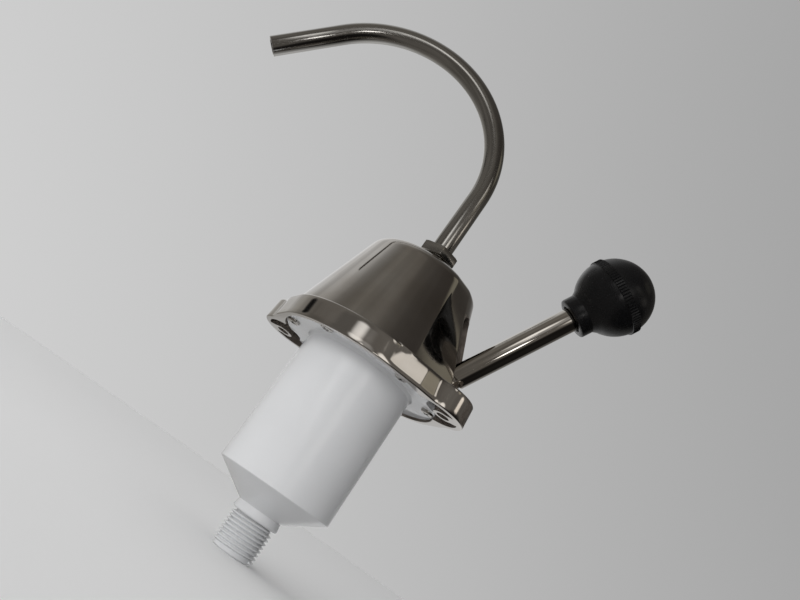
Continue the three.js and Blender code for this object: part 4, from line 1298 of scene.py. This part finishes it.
# %% The room's sphere
room_radius = 3
bpy.ops.object.select_all(action="DESELECT")
bpy.ops.mesh.primitive_uv_sphere_add(segments=48, ring_count=24, radius=room_radius)
room = bpy.context.object
room.name = "dim_room"
for kind in ("camera", "diffuse", "shadow", "transmission", "volume_scatter"):
    setattr(room, f"visible_{kind}", False)
room_finish = bpy.data.materials.new("dim_room")
room_finish.use_nodes = True
nodes, links = room_finish.node_tree.nodes, room_finish.node_tree.links
nodes.remove(nodes["Principled BSDF"])
coordinates = nodes.new("ShaderNodeTexCoord")
outwards = nodes.new("ShaderNodeVectorMath")
outwards.operation = "NORMALIZE"
links.new(coordinates.outputs["Object"], outwards.inputs[0])
way = outwards.outputs["Vector"]

# %% The sheet with its painted shadow, the walls and the ceiling
# The sheet's dark right part is a painted shadow, where it lies in the pump's shadow
sheet_left, sheet_middle, shadowed_sheet_right = (0.3, 0.29, 0.27), (0.7, 0.7, 0.7), (0.07, 0.066, 0.06)
ceiling_left, ceiling_right = (0.18, 0.168, 0.15), (0.058, 0.051, 0.045)
wall_tone = (0.14, 0.13, 0.118)
to_right = along_way(nodes, links, way, camera_right)
to_top = along_way(nodes, links, way, (0, 0, 1))
to_sheet = along_way(nodes, links, way, camera_ahead)
right_share = soft_range(nodes, links, to_right, -0.2, 0.75)
middle_share = soft_range(nodes, links, to_right, -0.68, -0.15)
ceiling_share = soft_range(nodes, links, to_right, -0.15, 0.95)
right_part = blend_tones(nodes, links, right_share, sheet_middle, shadowed_sheet_right)
sheet = blend_tones(nodes, links, middle_share, sheet_left, right_part)
ceiling = blend_tones(nodes, links, ceiling_share, ceiling_left, ceiling_right)
walls = blend_tones(nodes, links, soft_range(nodes, links, to_top, 0.35, 0.7), wall_tone, ceiling)
tone = blend_tones(nodes, links, soft_range(nodes, links, to_sheet, 0, 0.7), walls, sheet)

# %% The window, the lamp and the dark things
# Each patch has its direction, the angles in degrees where it begins and ends to fade, and its tone
patches = [
    ((0.3, -0.95, 0.12), 7, 15, (0.34, 0.33, 0.32)),
    ((0.06, -0.96, 0.25), 3, 11, (1.15, 1.13, 1.1)),
    ((0.72, -0.68, 0.16), 5, 12, (1.1, 1.06, 1)),
    ((0.75, -0.38, 0.55), 4, 7, (0.8, 0.76, 0.7)),
    ((0.84, -0.17, 0.52), 4, 7, (0.34, 0.31, 0.25)),
    ((0.94, 0.12, 0.32), 3, 8, (1.2, 1.1, 0.98)),
    ((0.62, 0.2, 0.76), 6, 12, (0.27, 0.25, 0.2)),
    ((0.25, -0.96, 0.1), 1, 3, (1.4, 1.37, 1.35)),
    ((-0.93, -0.24, 0.27), 2, 7, (0.01, 0.01, 0.01)),
    ((0.85, 0.15, -0.42), 34, 50, (0.012, 0.011, 0.01)),
    ((0.55, -0.81, -0.19), 3, 6, (4.5, 4.4, 4.3)),
]
for direction, inner, outer, colour in patches:
    towards = along_way(nodes, links, way, direction)
    share = soft_range(nodes, links, towards, math.cos(math.radians(outer)), math.cos(math.radians(inner)))
    tone = blend_tones(nodes, links, share, tone, colour)

# %% Soft clouds over it all
cloud_low, cloud_high = 0.82, 1.18
clouds = nodes.new("ShaderNodeTexNoise")
clouds.inputs["Scale"].default_value = 2
clouds.inputs["Detail"].default_value = 3
links.new(way, clouds.inputs["Vector"])
glow = nodes.new("ShaderNodeEmission")
links.new(tone, glow.inputs["Color"])
cloud_share = soft_range(nodes, links, clouds.outputs["Fac"], 0.35, 0.65, cloud_low, cloud_high)
links.new(cloud_share, glow.inputs["Strength"])
links.new(glow.outputs["Emission"], nodes["Material Output"].inputs["Surface"])
room.data.materials.append(room_finish)
print("patches in the room", len(patches))

# %% [markdown]
# The Standard view shows each tone as it was written.

# %% The picture's plain tones
bpy.context.scene.view_settings.view_transform = "Standard"
